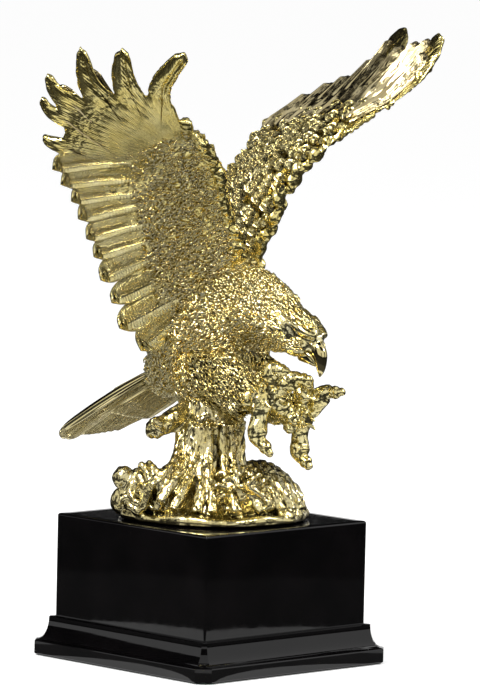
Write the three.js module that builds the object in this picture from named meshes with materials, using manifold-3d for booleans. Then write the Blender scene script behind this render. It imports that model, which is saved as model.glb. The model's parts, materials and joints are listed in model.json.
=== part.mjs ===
// A cast eagle striking with its feet, gold plated, on a tree stump above a black moulded plinth.
// Millimetres, +Z up. The origin is the centre of the underside and the bird looks toward -Y.
// Places on the bird are given as side (+X is the bird's left), forward (-Y) and up.

import * as THREE from 'three';
import { mergeVertices } from 'three/addons/utils/BufferGeometryUtils.js';
import Module from 'manifold-3d';

const wasm = await Module();
wasm.setup();

// Fits shared by every joint
const fitGap = 0.3;            // clearance between a piece and the pocket it sits in
const overrun = 2;             // how far a cutting tool runs past the face that it opens
const weldGap = 0.0001;        // vertices closer than this are one vertex

// Plinth
const boxSide = 120;
const boxTop = 78.4;           // height of the box's top above the table
const boxWall = 5;
const boxEdge = 1.2;           // radius of the box's polished edges
const feltThick = 1;
const feltInset = 2.8;         // felt edge inside the slab edge
const feltCorner = 4;
const slabReach = 10.8;        // slab face outside the box face
const slabTop = 8.7;
const lipReach = 3.3;          // top of the cove outside the box face
const lipTop = 21.2;
const slabChamfer = 6.4;       // the skirt's mitred corners are cut back
const lipChamfer = 2.1;
const basePlateThick = 4;
const basePlateInset = 4;      // base plate edge inside the box face
const ledgeThick = 3;          // ledge of the skirt that the box stands on
const ledgeWidth = 15;
const bossSide = 12;
const bossTall = 32;

// Fixings of the plinth
const screwRadius = 1.9;
const screwHeadRadius = 3.8;
const screwLength = 21;
const screwHeadSink = 0.2;
const screwSlotWide = 0.9;
const screwSlotDeep = 0.9;
const rodRadius = 3;
const rodTail = 4.8;           // rod showing below its nut
const backingSide = 80;
const backingThick = 10;
const washerRadius = 9;
const washerThick = 1.6;
const nutFlats = 10;
const nutTall = 5;
const insertRadius = 5;
const insertTall = 15;

// Tree stump
const trunkRadius = 16.5;      // at the seat under the bird
const stumpTall = 59.6;        // box top to that seat
const plateRadius = 52;        // ground plate that the stump grows out of
const plateThick = 5.5;
const fluteDeep = 2.2;
const stumpWall = 5;
const stumpBossRadius = 9;
const spigotRadius = 7;
const spigotTall = 14;
const crossPinRadius = 1.5;
const crossPinLength = 30;
const branchRadius = 6;
const branchLength = 40;
const burlRadius = 14;
const moundRadius = 20;

// Bird
const bodyLength = 130;        // rump to brow
const rumpBack = 46;           // rump behind the plinth's axis
const bodyRise = 60;           // seat to the line of the back
const bodyHalfWidth = 26;
const bodyHalfDepth = 31;
const beakLength = 18;
const beakHalfWidth = 5.6;
const plumeLength = 24;        // tiers of feathers on the body and thighs
const plumeWidth = 17;
const plumeThick = 5;
const plumeRise = 1.4;         // tip above the quill
const plumeSink = 1.8;         // edges below the skin that they grow from
const legSide = 14.5;          // each leg from the middle plane
const legReach = 39;           // where the plated foot begins, forward of the axis
const legRadius = 9.5;
const rightAnkleRise = 9;      // ankles above the seat
const leftAnkleRise = 0.5;
const rightPalmRise = 11.5;
const leftPalmRise = -0.5;
const palmRadius = 7;
const toeRadius = 4.4;
const ankleRadius = 6;
const shankLength = 14;        // end of the leg to the middle of the palm
const toeLength = 32;
const footSpigotRadius = 3;
const footSpigotLength = 12;
const footPinRadius = 1;
const footPinLength = 13;

// Wings
const wingReach = 166;         // along the bone, shoulder to the longest tip
const wingChord = 68;          // bone to the trailing edge at the root
const wingRootThick = 9;
const wingTipThick = 2.6;
const shoulderSide = 12;
const shoulderForward = 20;
const shoulderRise = 81;       // above the seat
const featherThick = 3.6;
const primaryWidth = 16;
const secondaryWidth = 13;
const covertWidth = 15;
const marginLength = 19;       // small feathers along the leading edge
const marginWidth = 13;
const tenonDeep = 13;          // tenon past the shoulder, into the body
const tenonThick = 5;
const tenonNearChord = 4;
const tenonFarChord = 24;
const wingPinRadius = 1.2;
const wingPinLength = 15;

// Tail
const tailLength = 80;
const tailSink = 6;            // tail root inside the rump
const tailRootRise = 10;       // above the seat
const tailDroop = 26;          // degrees below level
const tailHalfWidth = 17;
const tailThick = 5;
const tailBank = 40;           // degrees that the root of the fan is rolled
const tailSpigotRadius = 4;
const tailSpigotLength = 14;
const tailPinRadius = 1.2;
const tailPinLength = 18;

// Heights that several pieces share
const seatUp = boxTop + stumpTall;
const rightAnkleUp = seatUp + rightAnkleRise;
const leftAnkleUp = seatUp + leftAnkleRise;

// Materials
const gold = new THREE.MeshStandardMaterial({ color: 0xd8c273, roughness: 0.22, metalness: 1 });
const blackGloss = new THREE.MeshStandardMaterial({ color: 0x070707, roughness: 0.08, metalness: 0 });
const steel = new THREE.MeshStandardMaterial({ color: 0x9a9c9e, roughness: 0.45, metalness: 1 });
const zinc = new THREE.MeshStandardMaterial({ color: 0xb4b8bc, roughness: 0.35, metalness: 1 });
const brassPart = new THREE.MeshStandardMaterial({ color: 0xb5903f, roughness: 0.4, metalness: 1 });
const felt = new THREE.MeshStandardMaterial({ color: 0x14231a, roughness: 1, metalness: 0 });

const statuette = new THREE.Group();

// Points and small sums

function point(side, forward, up) {
  return new THREE.Vector3(side, -forward, up);
}

function mix(from, to, share) {
  return from + (to - from) * share;
}

// Value at x of a line through pairs of places and values
function follow(places, values, x) {
  let k = 1;
  while (k < places.length - 1 && x > places[k]) k += 1;
  const share = (x - places[k - 1]) / (places[k] - places[k - 1]);
  return mix(values[k - 1], values[k], THREE.MathUtils.clamp(share, 0, 1));
}

// Solids

// Closed skin over rings of equal count, each going round the same way
function skin(rings) {
  const count = rings[0].length;
  const positions = [];
  const faces = [];
  for (const ring of rings) {
    for (const p of ring) positions.push(p.x, p.y, p.z);
  }
  for (let k = 0; k < rings.length - 1; k += 1) {
    for (let j = 0; j < count; j += 1) {
      const a = k * count + j;
      const b = k * count + (j + 1) % count;
      faces.push(a, b, b + count, a, b + count, a + count);
    }
  }
  for (const k of [0, rings.length - 1]) {
    const middle = new THREE.Vector3();
    for (const p of rings[k]) middle.addScaledVector(p, 1 / count);
    const hub = positions.length / 3;
    positions.push(middle.x, middle.y, middle.z);
    for (let j = 0; j < count; j += 1) {
      const a = k * count + j;
      const b = k * count + (j + 1) % count;
      if (k === 0) faces.push(hub, b, a);
      else faces.push(hub, a, b);
    }
  }
  const geometry = new THREE.BufferGeometry();
  geometry.setAttribute('position', new THREE.Float32BufferAttribute(positions, 3));
  geometry.setIndex(faces);
  return geometry;
}

// Solid for cutting and joining, with its faces turned outward
function toSolid(geometry) {
  const bare = geometry.clone();
  bare.deleteAttribute('normal');
  bare.deleteAttribute('uv');
  const merged = mergeVertices(bare, weldGap);
  const at = merged.attributes.position.array;
  const faces = new Uint32Array(merged.index.array);
  const corners = [new THREE.Vector3(), new THREE.Vector3(), new THREE.Vector3()];
  let volume = 0;
  for (let k = 0; k < faces.length; k += 3) {
    corners.forEach((corner, j) => corner.fromArray(at, faces[k + j] * 3));
    volume += corners[0].dot(corners[1].clone().cross(corners[2]));
  }
  if (volume < 0) {
    for (let k = 0; k < faces.length; k += 3) [faces[k], faces[k + 1]] = [faces[k + 1], faces[k]];
  }
  return new wasm.Manifold(new wasm.Mesh({ numProp: 3, vertProperties: at, triVerts: faces }));
}

function fromSolid(solid) {
  const mesh = solid.getMesh();
  const geometry = new THREE.BufferGeometry();
  geometry.setAttribute('position', new THREE.BufferAttribute(mesh.vertProperties, mesh.numProp));
  geometry.setIndex(new THREE.BufferAttribute(mesh.triVerts, 1));
  return geometry;
}

function addPiece(name, solid, material) {
  const geometry = fromSolid(solid);
  geometry.computeVertexNormals();
  const mesh = new THREE.Mesh(geometry, material);
  mesh.name = name;
  statuette.add(mesh);
}

function join(solids) {
  return solids.reduce((sum, solid) => sum.add(solid));
}

// Upright block about a middle point of its plan, from one height to another
function block(halfX, halfY, low, high, x = 0, y = 0) {
  const geometry = new THREE.BoxGeometry(2 * halfX, 2 * halfY, high - low);
  geometry.translate(x, y, (low + high) / 2);
  return toSolid(geometry);
}

// Round bar between two points
function bar(from, to, radius, sides = 20) {
  const along = to.clone().sub(from);
  const geometry = new THREE.CylinderGeometry(radius, radius, along.length(), sides);
  const turn = new THREE.Quaternion().setFromUnitVectors(new THREE.Vector3(0, 1, 0), along.clone().normalize());
  geometry.applyQuaternion(turn);
  const middle = from.clone().add(to).multiplyScalar(0.5);
  geometry.translate(middle.x, middle.y, middle.z);
  return toSolid(geometry);
}

function upright(radius, low, high, x = 0, y = 0, sides = 20) {
  return bar(new THREE.Vector3(x, y, low), new THREE.Vector3(x, y, high), radius, sides);
}

// Ball stretched along the three axes
function ball(middle, radiusX, radiusY, radiusZ) {
  const geometry = new THREE.SphereGeometry(1, 12, 7);
  geometry.scale(radiusX, radiusY, radiusZ);
  geometry.translate(middle.x, middle.y, middle.z);
  return toSolid(geometry);
}

// Limb that follows a smooth line through points, with a radius for each ring
function limb(points, radii, sides) {
  const line = new THREE.CatmullRomCurve3(points, false, 'centripetal');
  const rings = [];
  let across = new THREE.Vector3(1, 0, 0);
  for (let k = 0; k < radii.length; k += 1) {
    const share = k / (radii.length - 1);
    const middle = line.getPointAt(share);
    const along = line.getTangentAt(share);
    across = across.clone().addScaledVector(along, -across.dot(along)).normalize();
    const third = along.clone().cross(across);
    const ring = [];
    for (let j = 0; j < sides; j += 1) {
      const turn = 2 * Math.PI * j / sides;
      ring.push(middle.clone()
        .addScaledVector(across, radii[k] * Math.cos(turn))
        .addScaledVector(third, radii[k] * Math.sin(turn)));
    }
    rings.push(ring);
  }
  return toSolid(skin(rings));
}

// Plinth

// Square ring with rounded corners
function roundedSquare(half, corner, z, steps = 3) {
  const ring = [];
  for (let quarter = 0; quarter < 4; quarter += 1) {
    const middle = new THREE.Vector3(half - corner, half - corner, 0);
    for (let k = 0; k <= steps; k += 1) {
      const turn = Math.PI / 2 * k / steps;
      const p = middle.clone().add(new THREE.Vector3(corner * Math.cos(turn), corner * Math.sin(turn), 0));
      p.applyAxisAngle(new THREE.Vector3(0, 0, 1), Math.PI / 2 * quarter);
      ring.push(p.setZ(z));
    }
  }
  return ring;
}

const boxHalf = boxSide / 2;
const basePlateTop = feltThick + basePlateThick;
const boxFoot = basePlateTop + ledgeThick;
const boxCeiling = boxTop - boxWall;
const bossAt = boxHalf - boxWall - bossSide / 2;

function feltPad() {
  const half = boxHalf + slabReach - feltInset;
  return toSolid(skin([roundedSquare(half, feltCorner, 0), roundedSquare(half, feltCorner, feltThick)]));
}

// Four screw places, one in each corner boss
const screwPlaces = [[1, 1], [-1, 1], [-1, -1], [1, -1]].map(([sx, sy]) => [sx * bossAt, sy * bossAt]);

function countersunk(gap) {
  const low = feltThick + screwHeadSink;
  const mouth = gap > 0 ? feltThick - overrun : low;
  const profile = [
    new THREE.Vector2(0, mouth),
    new THREE.Vector2(screwHeadRadius + gap, mouth),
    new THREE.Vector2(screwHeadRadius + gap, low + gap),
    new THREE.Vector2(screwRadius + gap, low + gap + screwHeadRadius - screwRadius),
    new THREE.Vector2(screwRadius + gap, low + screwLength - screwRadius + gap),
    new THREE.Vector2(0, low + screwLength + gap),
  ];
  if (gap === 0) profile.splice(2, 1);
  const geometry = new THREE.LatheGeometry(profile, 16);
  geometry.rotateX(Math.PI / 2);
  return toSolid(geometry);
}

function screwHoles() {
  return join(screwPlaces.map(([x, y]) => countersunk(fitGap).translate([x, y, 0])));
}

function basePlate() {
  const half = boxHalf - basePlateInset;
  return block(half, half, feltThick, basePlateTop).subtract(screwHoles());
}

// Ring of the skirt: a square with cut corners
function mitredSquare(half, cut, z) {
  const ring = [];
  for (let quarter = 0; quarter < 4; quarter += 1) {
    for (const [x, y] of [[half, half - cut], [half - cut, half]]) {
      const p = new THREE.Vector3(x, y, z);
      p.applyAxisAngle(new THREE.Vector3(0, 0, 1), Math.PI / 2 * quarter);
      ring.push(p);
    }
  }
  return ring;
}

function plinthSkirt() {
  const slabHalf = boxHalf + slabReach;
  const rings = [mitredSquare(slabHalf, slabChamfer, feltThick)];
  const coveSteps = 6;
  for (let k = coveSteps; k >= 0; k -= 1) {
    const turn = Math.PI / 2 * k / coveSteps;
    const reach = slabReach - (slabReach - lipReach) * Math.cos(turn);
    const z = lipTop - (lipTop - slabTop) * Math.sin(turn);
    rings.push(mitredSquare(boxHalf + reach, mix(lipChamfer, slabChamfer, 1 - Math.cos(turn)), z));
  }
  const pocket = boxHalf + fitGap;
  const recess = boxHalf - basePlateInset + fitGap;
  return toSolid(skin(rings))
    .subtract(block(pocket, pocket, boxFoot, lipTop + overrun))
    .subtract(block(boxHalf - ledgeWidth, boxHalf - ledgeWidth, feltThick - overrun, lipTop))
    .subtract(block(recess, recess, feltThick - overrun, basePlateTop))
    .subtract(screwHoles());
}

function plinthBox() {
  const rings = [
    roundedSquare(boxHalf, boxEdge, boxFoot),
    roundedSquare(boxHalf, boxEdge, boxTop - boxEdge),
    roundedSquare(boxHalf - boxEdge * (1 - Math.SQRT1_2), boxEdge, boxTop - boxEdge * (1 - Math.SQRT1_2)),
    roundedSquare(boxHalf - boxEdge, boxEdge, boxTop),
  ];
  const inner = boxHalf - boxWall;
  const bosses = join(screwPlaces.map(([x, y]) => (
    block(bossSide / 2 + overrun, bossSide / 2 + overrun, boxFoot - overrun, boxFoot + bossTall,
      x + Math.sign(x) * overrun, y + Math.sign(y) * overrun))));
  const hollow = block(inner, inner, boxFoot - overrun, boxCeiling).subtract(bosses);
  return toSolid(skin(rings))
    .subtract(hollow)
    .subtract(screwHoles())
    .subtract(upright(rodRadius + fitGap, boxCeiling - overrun, boxTop + overrun));
}

function plateScrew([x, y]) {
  const slot = block(screwHeadRadius + overrun, screwSlotWide / 2,
    feltThick - overrun, feltThick + screwHeadSink + screwSlotDeep);
  return countersunk(0).subtract(slot).translate([x, y, 0]);
}

// Rod, backing plate, washer, nut and insert that clamp the stump to the plinth

const backingLow = boxCeiling - backingThick;
const washerLow = backingLow - washerThick;
const nutLow = washerLow - nutTall;
const rodTop = boxTop + insertTall;
const rodBottom = nutLow - rodTail;
const rodBore = upright(rodRadius + fitGap, rodBottom - overrun, rodTop + overrun);

function backingPlate() {
  return block(backingSide / 2, backingSide / 2, backingLow, boxCeiling).subtract(rodBore);
}

function rodWasher() {
  return upright(washerRadius, washerLow, backingLow).subtract(rodBore);
}

function rodNut() {
  return upright(nutFlats / Math.sqrt(3), nutLow, washerLow, 0, 0, 6).subtract(rodBore);
}

function clampRod() {
  return upright(rodRadius, rodBottom, rodTop);
}

function stumpInsert() {
  return upright(insertRadius, boxTop, rodTop).subtract(rodBore);
}

// Tree stump

// Heights as shares of the stump's height, and radii from the trunk (0) to the ground plate (1)
const trunkHeightShares = [0.09, 0.16, 0.24, 0.34, 0.46, 0.62, 0.8, 0.94, 1];
const trunkSpreadShares = [0.86, 0.66, 0.46, 0.28, 0.14, 0.06, 0.04, 0.1, 0.06];

// Ring of the fluted trunk, with seven roots that swell as the stump widens
function trunkRing(radius, z, depth) {
  const ring = [];
  const count = 28;
  for (let k = 0; k < count; k += 1) {
    const turn = 2 * Math.PI * k / count;
    const r = radius + depth * Math.cos(7 * turn + 0.6) + 0.4 * depth * Math.sin(3 * turn);
    ring.push(new THREE.Vector3(r * Math.cos(turn), r * Math.sin(turn), z));
  }
  return ring;
}

function trunk() {
  const rings = [trunkRing(mix(trunkRadius, plateRadius, trunkSpreadShares[0]), boxTop, 0)];
  trunkHeightShares.forEach((share, k) => {
    const spread = trunkSpreadShares[k];
    const depth = fluteDeep * (0.5 + Math.min(1, 4 * spread));
    rings.push(trunkRing(mix(trunkRadius, plateRadius, spread), boxTop + stumpTall * share, depth));
  });
  return toSolid(skin(rings));
}

// Ground plate with a rolled rim that wanders in and out
function groundPlate() {
  const heightShares = [0, 0.25, 0.7, 1];
  const insetShares = [0.06, 0, 0.02, 0.09];
  const count = 36;
  const rings = heightShares.map((height, k) => {
    const ring = [];
    for (let j = 0; j < count; j += 1) {
      const turn = 2 * Math.PI * j / count;
      const wander = 1 + 0.02 * Math.sin(5 * turn) + 0.015 * Math.cos(9 * turn);
      const r = plateRadius * wander * (1 - insetShares[k]);
      ring.push(new THREE.Vector3(r * Math.cos(turn), r * Math.sin(turn), boxTop + plateThick * height));
    }
    return ring;
  });
  return toSolid(skin(rings));
}

const spigotMiddle = seatUp + spigotTall / 2;

function crossPin(gap) {
  const half = crossPinLength / 2 + gap;
  return bar(point(-half, 0, spigotMiddle), point(half, 0, spigotMiddle), crossPinRadius + gap, 12);
}

function treeStump() {
  const solids = [trunk(), groundPlate()];
  // burl on the bird's right, root mound on its left, broken branch behind
  const burlAt = point(-0.84 * plateRadius, -0.3 * plateRadius, boxTop + burlRadius * 1.1);
  solids.push(ball(burlAt, burlRadius, burlRadius * 0.9, burlRadius * 1.25));
  solids.push(ball(point(-0.62 * plateRadius, 0.02 * plateRadius, boxTop + burlRadius * 0.8),
    burlRadius * 1.2, burlRadius, burlRadius));
  const moundAt = point(0.41 * plateRadius, 0.38 * plateRadius, boxTop + moundRadius * 0.3);
  solids.push(ball(moundAt, moundRadius, moundRadius, moundRadius * 1.15));
  const branchFrom = point(0, -0.1 * plateRadius, seatUp - branchRadius);
  const branchTo = point(-branchLength, -0.16 * plateRadius, seatUp - 1.9 * branchRadius);
  const branchShares = [1, 1, 0.9, 0.8, 1, 0.95, 0.5];
  solids.push(limb([branchFrom, branchFrom.clone().lerp(branchTo, 0.5), branchTo],
    branchShares.map((share) => share * branchRadius), 8));
  const postTop = point(0.1 * plateRadius, 0.29 * plateRadius, seatUp - branchRadius / 2);
  const postFoot = point(0.12 * plateRadius, 0.34 * plateRadius, boxTop + plateThick);
  solids.push(limb([postFoot, postTop], [1.5, 1, 0.9, 0.9].map((share) => share * branchRadius * 0.75), 8));
  solids.push(upright(spigotRadius, seatUp - overrun, seatUp + spigotTall));
  const trim = block(2 * plateRadius, 2 * plateRadius, boxTop - 2 * plateRadius, boxTop);
  const lid = upright(2 * plateRadius, seatUp, seatUp + bodyRise)
    .subtract(upright(spigotRadius, seatUp - overrun, seatUp + spigotTall));
  return join(solids).subtract(trim).subtract(lid).subtract(stumpHollow()).subtract(crossPin(fitGap));
}

// Space left by the core of the casting, round a boss that takes the insert
function stumpHollow() {
  const roof = boxTop + stumpTall * 0.7;
  const profile = [
    new THREE.Vector2(0, boxTop - overrun),
    new THREE.Vector2(plateRadius * 0.72, boxTop - overrun),
    new THREE.Vector2(plateRadius * 0.72, boxTop + overrun),
    new THREE.Vector2(mix(trunkRadius, plateRadius, trunkSpreadShares[2]) - stumpWall, boxTop + stumpTall * 0.16),
    new THREE.Vector2(trunkRadius - stumpWall, boxTop + stumpTall * 0.4),
    new THREE.Vector2(trunkRadius - stumpWall, roof - stumpWall),
    new THREE.Vector2(0, roof),
  ];
  const geometry = new THREE.LatheGeometry(profile, 24);
  geometry.rotateX(Math.PI / 2);
  const boss = upright(stumpBossRadius, boxTop, boxTop + stumpTall);
  return toSolid(geometry).subtract(boss)
    .add(upright(insertRadius + fitGap, boxTop - overrun, boxTop + insertTall))
    .add(rodBore);
}

// Wings

// How the wing bone climbs (degrees above level) and how the chord tips, along the reach
const spanShares = [0, 0.18, 0.36, 0.6, 0.84, 1.08];
const rightPose = { side: -1, climb: [50, 42, 42, 44, 50, 60], tip: [48, 45, 38, 27, 22, 20] };
const leftPose = { side: 1, climb: [88, 76, 43, 31, 37, 52], tip: [22, 18, 14, 12, 20, 28] };

// Places on a wing: along the bone, across the chord and out of the underside
function wingFrame(pose) {
  const spans = spanShares.map((share) => share * wingReach);
  const out = new THREE.Vector3(pose.side, 0, 0);
  const up = new THREE.Vector3(0, 0, 1);
  const back = new THREE.Vector3(0, 1, 0);
  const steps = 24;

  function boneAt(along) {
    const climb = THREE.MathUtils.degToRad(follow(spans, pose.climb, along));
    return out.clone().multiplyScalar(Math.cos(climb)).addScaledVector(up, Math.sin(climb));
  }

  return function place(along, across, below = 0) {
    const p = new THREE.Vector3(pose.side * shoulderSide, -shoulderForward, seatUp + shoulderRise);
    for (let k = 0; k < steps; k += 1) p.addScaledVector(boneAt(along * (k + 0.5) / steps), along / steps);
    const climb = THREE.MathUtils.degToRad(follow(spans, pose.climb, along));
    const tip = THREE.MathUtils.degToRad(follow(spans, pose.tip, along));
    const down = out.clone().multiplyScalar(Math.sin(climb)).addScaledVector(up, -Math.cos(climb));
    const chord = back.clone().multiplyScalar(Math.cos(tip)).addScaledVector(down, Math.sin(tip));
    const under = boneAt(along).cross(chord).multiplyScalar(-pose.side);
    return p.addScaledVector(chord, across).addScaledVector(under, below);
  };
}

// Bone and skin of the wing: station, leading edge and trailing edge, as shares of reach and chord
const panelShares = [
  [-0.05, -0.15, 0.66], [0.05, -0.22, 0.7], [0.19, -0.27, 0.7], [0.28, -0.33, 0.64], [0.38, -0.44, 0.58],
  [0.49, -0.53, 0.5], [0.6, -0.52, 0.38], [0.7, -0.53, 0.08], [0.76, -0.5, -0.26],
];
const sectionShares = [[0, 0], [0.15, 0.5], [0.45, 0.42], [0.8, 0.2], [1, 0], [0.8, -0.2], [0.45, -0.42], [0.15, -0.5]];

function wingPanel(place) {
  return toSolid(skin(panelShares.map(([station, lead, trail]) => {
    const thick = mix(wingRootThick, wingTipThick, THREE.MathUtils.clamp(station, 0, 1));
    return sectionShares.map(([chordShare, depthShare]) => (
      place(station * wingReach, mix(lead, trail, chordShare) * wingChord, depthShare * thick)));
  })));
}

// Feather outline, from quill to tip: shares of its length, width and thickness
const vaneShares = [[0, 0.6, 1], [0.35, 0.9, 1], [0.7, 1, 0.85], [0.9, 0.78, 0.6], [1, 0.22, 0.25]];
const vaneSectionShares = [[-1, 0], [0, 0.5], [1, 0], [0, -0.5]];
const plumeSectionShares = [[-1, -0.35], [0, 0.5], [1, -0.35], [0, -0.8]];

// One feather between two places, bowed sideways and lifted off the bone
function feather(place, { from, to, width, thick, bow = 0, lift = 0, section = vaneSectionShares }) {
  const length = Math.hypot(to[0] - from[0], to[1] - from[1]);
  const along = [(to[0] - from[0]) / length, (to[1] - from[1]) / length];
  const across = [-along[1], along[0]];
  return toSolid(skin(vaneShares.map(([share, widthShare, thickShare]) => {
    const sag = bow * 4 * share * (1 - share);
    return section.map(([w, t]) => {
      const sideways = sag + w * widthShare * width / 2;
      return place(
        from[0] + along[0] * length * share + across[0] * sideways,
        from[1] + along[1] * length * share + across[1] * sideways,
        lift + t * thickShare * thick,
      );
    });
  })));
}

// Quill and tip of each flight feather, as shares of reach and chord
const primaryShares = [
  [0.55, -0.3, 0.886, -0.868], [0.51, -0.18, 0.964, -0.4], [0.48, -0.06, 1, -0.06],
  [0.455, 0.06, 0.928, 0.34], [0.43, 0.14, 0.843, 0.485], [0.4, 0.2, 0.717, 0.66],
];
const secondaryShares = [
  [0.53, 0.03, 0.617, 0.7], [0.455, 0.06, 0.56, 0.71], [0.4, 0.1, 0.495, 0.715], [0.355, 0.13, 0.432, 0.75],
  [0.285, 0.17, 0.361, 0.79], [0.215, 0.2, 0.294, 0.83], [0.16, 0.2, 0.213, 0.9], [0.06, 0.2, 0.108, 0.94],
  [-0.02, 0.15, -0.011, 1], [-0.04, 0.17, -0.125, 0.95],
];

function spread([fromSpan, fromChord, toSpan, toChord]) {
  return {
    from: [fromSpan * wingReach, fromChord * wingChord],
    to: [toSpan * wingReach, toChord * wingChord],
  };
}

function flightFeathers(place) {
  const primaries = primaryShares.map((shares, k) => feather(place, {
    ...spread(shares),
    width: primaryWidth,
    thick: featherThick,
    bow: primaryWidth * mix(0.35, -0.1, k / (primaryShares.length - 1)),
    lift: featherThick * mix(-0.25, 0.25, k % 2),
  }));
  const secondaries = secondaryShares.map((shares, k) => feather(place, {
    ...spread(shares),
    width: secondaryWidth,
    thick: featherThick,
    bow: -0.15 * secondaryWidth,
    lift: featherThick * mix(-0.25, 0.25, k % 2),
  }));
  return primaries.concat(secondaries);
}

// Rows of coverts that overlap the quills, on the underside and on the back of the wing
function coverts(place) {
  const solids = [];
  const count = 8;
  for (const face of [1, -1]) {
    for (let k = 0; k < count; k += 1) {
      const share = k / (count - 1);
      const span = mix(0.02, 0.6, share);
      solids.push(feather(place, {
        from: [(span - 0.05) * wingReach, mix(-0.12, -0.35, share) * wingChord],
        to: [(span + mix(0, 0.14, share)) * wingReach, mix(0.5, 0.12, share) * wingChord],
        width: covertWidth,
        thick: featherThick,
        lift: face * mix(wingRootThick * 0.36, featherThick * 0.8, share),
      }));
    }
  }
  return solids;
}

// Small rounded feathers along the leading edge, on both faces
function marginals(place) {
  const solids = [];
  const stations = panelShares.map(([station]) => station);
  const leads = panelShares.map(([, lead]) => lead);
  const count = 8;
  for (const face of [1, -1]) {
    for (let k = 0; k < count; k += 1) {
      const span = mix(0.06, 0.62, k / (count - 1));
      const along = span * wingReach;
      const across = follow(stations, leads, span) * wingChord + marginWidth / 4;
      solids.push(feather(place, {
        from: [along, across],
        to: [along + marginLength * 0.45, across + marginLength * 0.9],
        width: marginWidth,
        thick: featherThick,
        lift: face * mix(wingRootThick, wingTipThick, span) * 0.42,
      }));
    }
  }
  return solids;
}

// Tenon that carries the wing in the body, with a gap all round when it cuts the pocket
function wingTenon(place, gap) {
  const half = tenonThick / 2 + gap;
  return toSolid(skin([-tenonDeep - gap, tenonDeep].map((along) => [
    place(along, tenonNearChord - gap, -half),
    place(along, tenonFarChord + gap, -half),
    place(along, tenonFarChord + gap, half),
    place(along, tenonNearChord - gap, half),
  ])));
}

const wingPinShares = { front: 0.25, rear: 0.75 };

function wingPin(place, chordShare, gap, tail = 0) {
  const along = -tenonDeep / 2;
  const across = mix(tenonNearChord, tenonFarChord, chordShare);
  return bar(place(along, across, -wingPinLength / 2 - gap), place(along, across, wingPinLength / 2 + gap + tail),
    wingPinRadius + gap, 12);
}

function wingPins(place, gap, tail = 0) {
  return join(Object.values(wingPinShares).map((share) => wingPin(place, share, gap, tail)));
}

function wing(place) {
  return join([wingPanel(place), ...flightFeathers(place), ...coverts(place), ...marginals(place)])
    .subtract(torso(fitGap))
    .add(wingTenon(place, 0))
    .subtract(wingPins(place, fitGap));
}

// Body

// Stations from rump to brow: forward, up, half width and half depth, as shares of the body's sizes
const torsoShares = [
  [0, 0.17, 0.27, 0.19], [0.06, 0.25, 0.54, 0.39], [0.17, 0.43, 0.81, 0.71], [0.29, 0.65, 1, 0.97],
  [0.415, 0.83, 1, 0.98], [0.52, 0.97, 0.85, 0.72], [0.63, 0.98, 0.65, 0.52], [0.74, 0.88, 0.54, 0.435],
  [0.83, 0.79, 0.48, 0.39], [0.91, 0.725, 0.42, 0.33], [0.97, 0.667, 0.31, 0.27], [1, 0.63, 0.16, 0.15],
];

function bodyPoint(forwardShare, upShare, side = 0) {
  return point(side, forwardShare * bodyLength - rumpBack, seatUp + upShare * bodyRise);
}

function torso(gap) {
  const middles = torsoShares.map(([forward, up]) => bodyPoint(forward, up));
  const rings = middles.map((middle, k) => {
    const along = middles[Math.min(k + 1, middles.length - 1)].clone().sub(middles[Math.max(k - 1, 0)]).normalize();
    const third = along.clone().cross(new THREE.Vector3(1, 0, 0));
    const halfWidth = torsoShares[k][2] * bodyHalfWidth + gap;
    const halfDepth = torsoShares[k][3] * bodyHalfDepth + gap;
    const ring = [];
    const count = 16;
    for (let j = 0; j < count; j += 1) {
      const turn = 2 * Math.PI * j / count;
      ring.push(middle.clone()
        .add(new THREE.Vector3(halfWidth * Math.cos(turn), 0, 0))
        .addScaledVector(third, halfDepth * Math.sin(turn)));
    }
    return ring;
  });
  return toSolid(skin(rings));
}

// Places on an oval skin about a line of middles: down the line, round it (from the bird's left, over the
// back) and above it
function ovalSkin(middles, halfWidths, halfDepths) {
  const reach = [0];
  for (let k = 1; k < middles.length; k += 1) reach.push(reach[k - 1] + middles[k].distanceTo(middles[k - 1]));
  return function place(along, turn, sideways, above) {
    const next = reach.findIndex((r) => r >= along);
    const k = next < 0 ? middles.length - 1 : Math.max(1, next);
    const stepShare = Math.min(1, (along - reach[k - 1]) / (reach[k] - reach[k - 1]));
    const middle = middles[k - 1].clone().lerp(middles[k], stepShare);
    const down = middles[k].clone().sub(middles[k - 1]).normalize();
    const level = new THREE.Vector3(1, 0, 0);
    const third = level.clone().cross(down).normalize();
    const halfWidth = follow(reach, halfWidths, along);
    const halfDepth = follow(reach, halfDepths, along);
    const at = turn + 2 * sideways / (halfWidth + halfDepth);
    return middle
      .addScaledVector(level, (halfWidth + above) * Math.cos(at))
      .addScaledVector(third, (halfDepth + above) * Math.sin(at));
  };
}

// Feathers that lie down an oval skin, in tiers that each have a start and the turns round the skin
function plumes(place, reach, tiers) {
  return tiers.flatMap(({ startShare, degrees }) => degrees.map((turnDegrees) => {
    const turn = THREE.MathUtils.degToRad(turnDegrees);
    const lie = (along, across, above) => {
      const height = above > 0 ? above + plumeRise * along / plumeLength : above - plumeSink;
      return place(startShare * reach + along, turn, across, height);
    };
    return feather(lie, {
      from: [0, 0],
      to: [plumeLength, 0],
      width: plumeWidth,
      thick: plumeThick,
      section: plumeSectionShares,
    });
  }));
}

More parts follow.
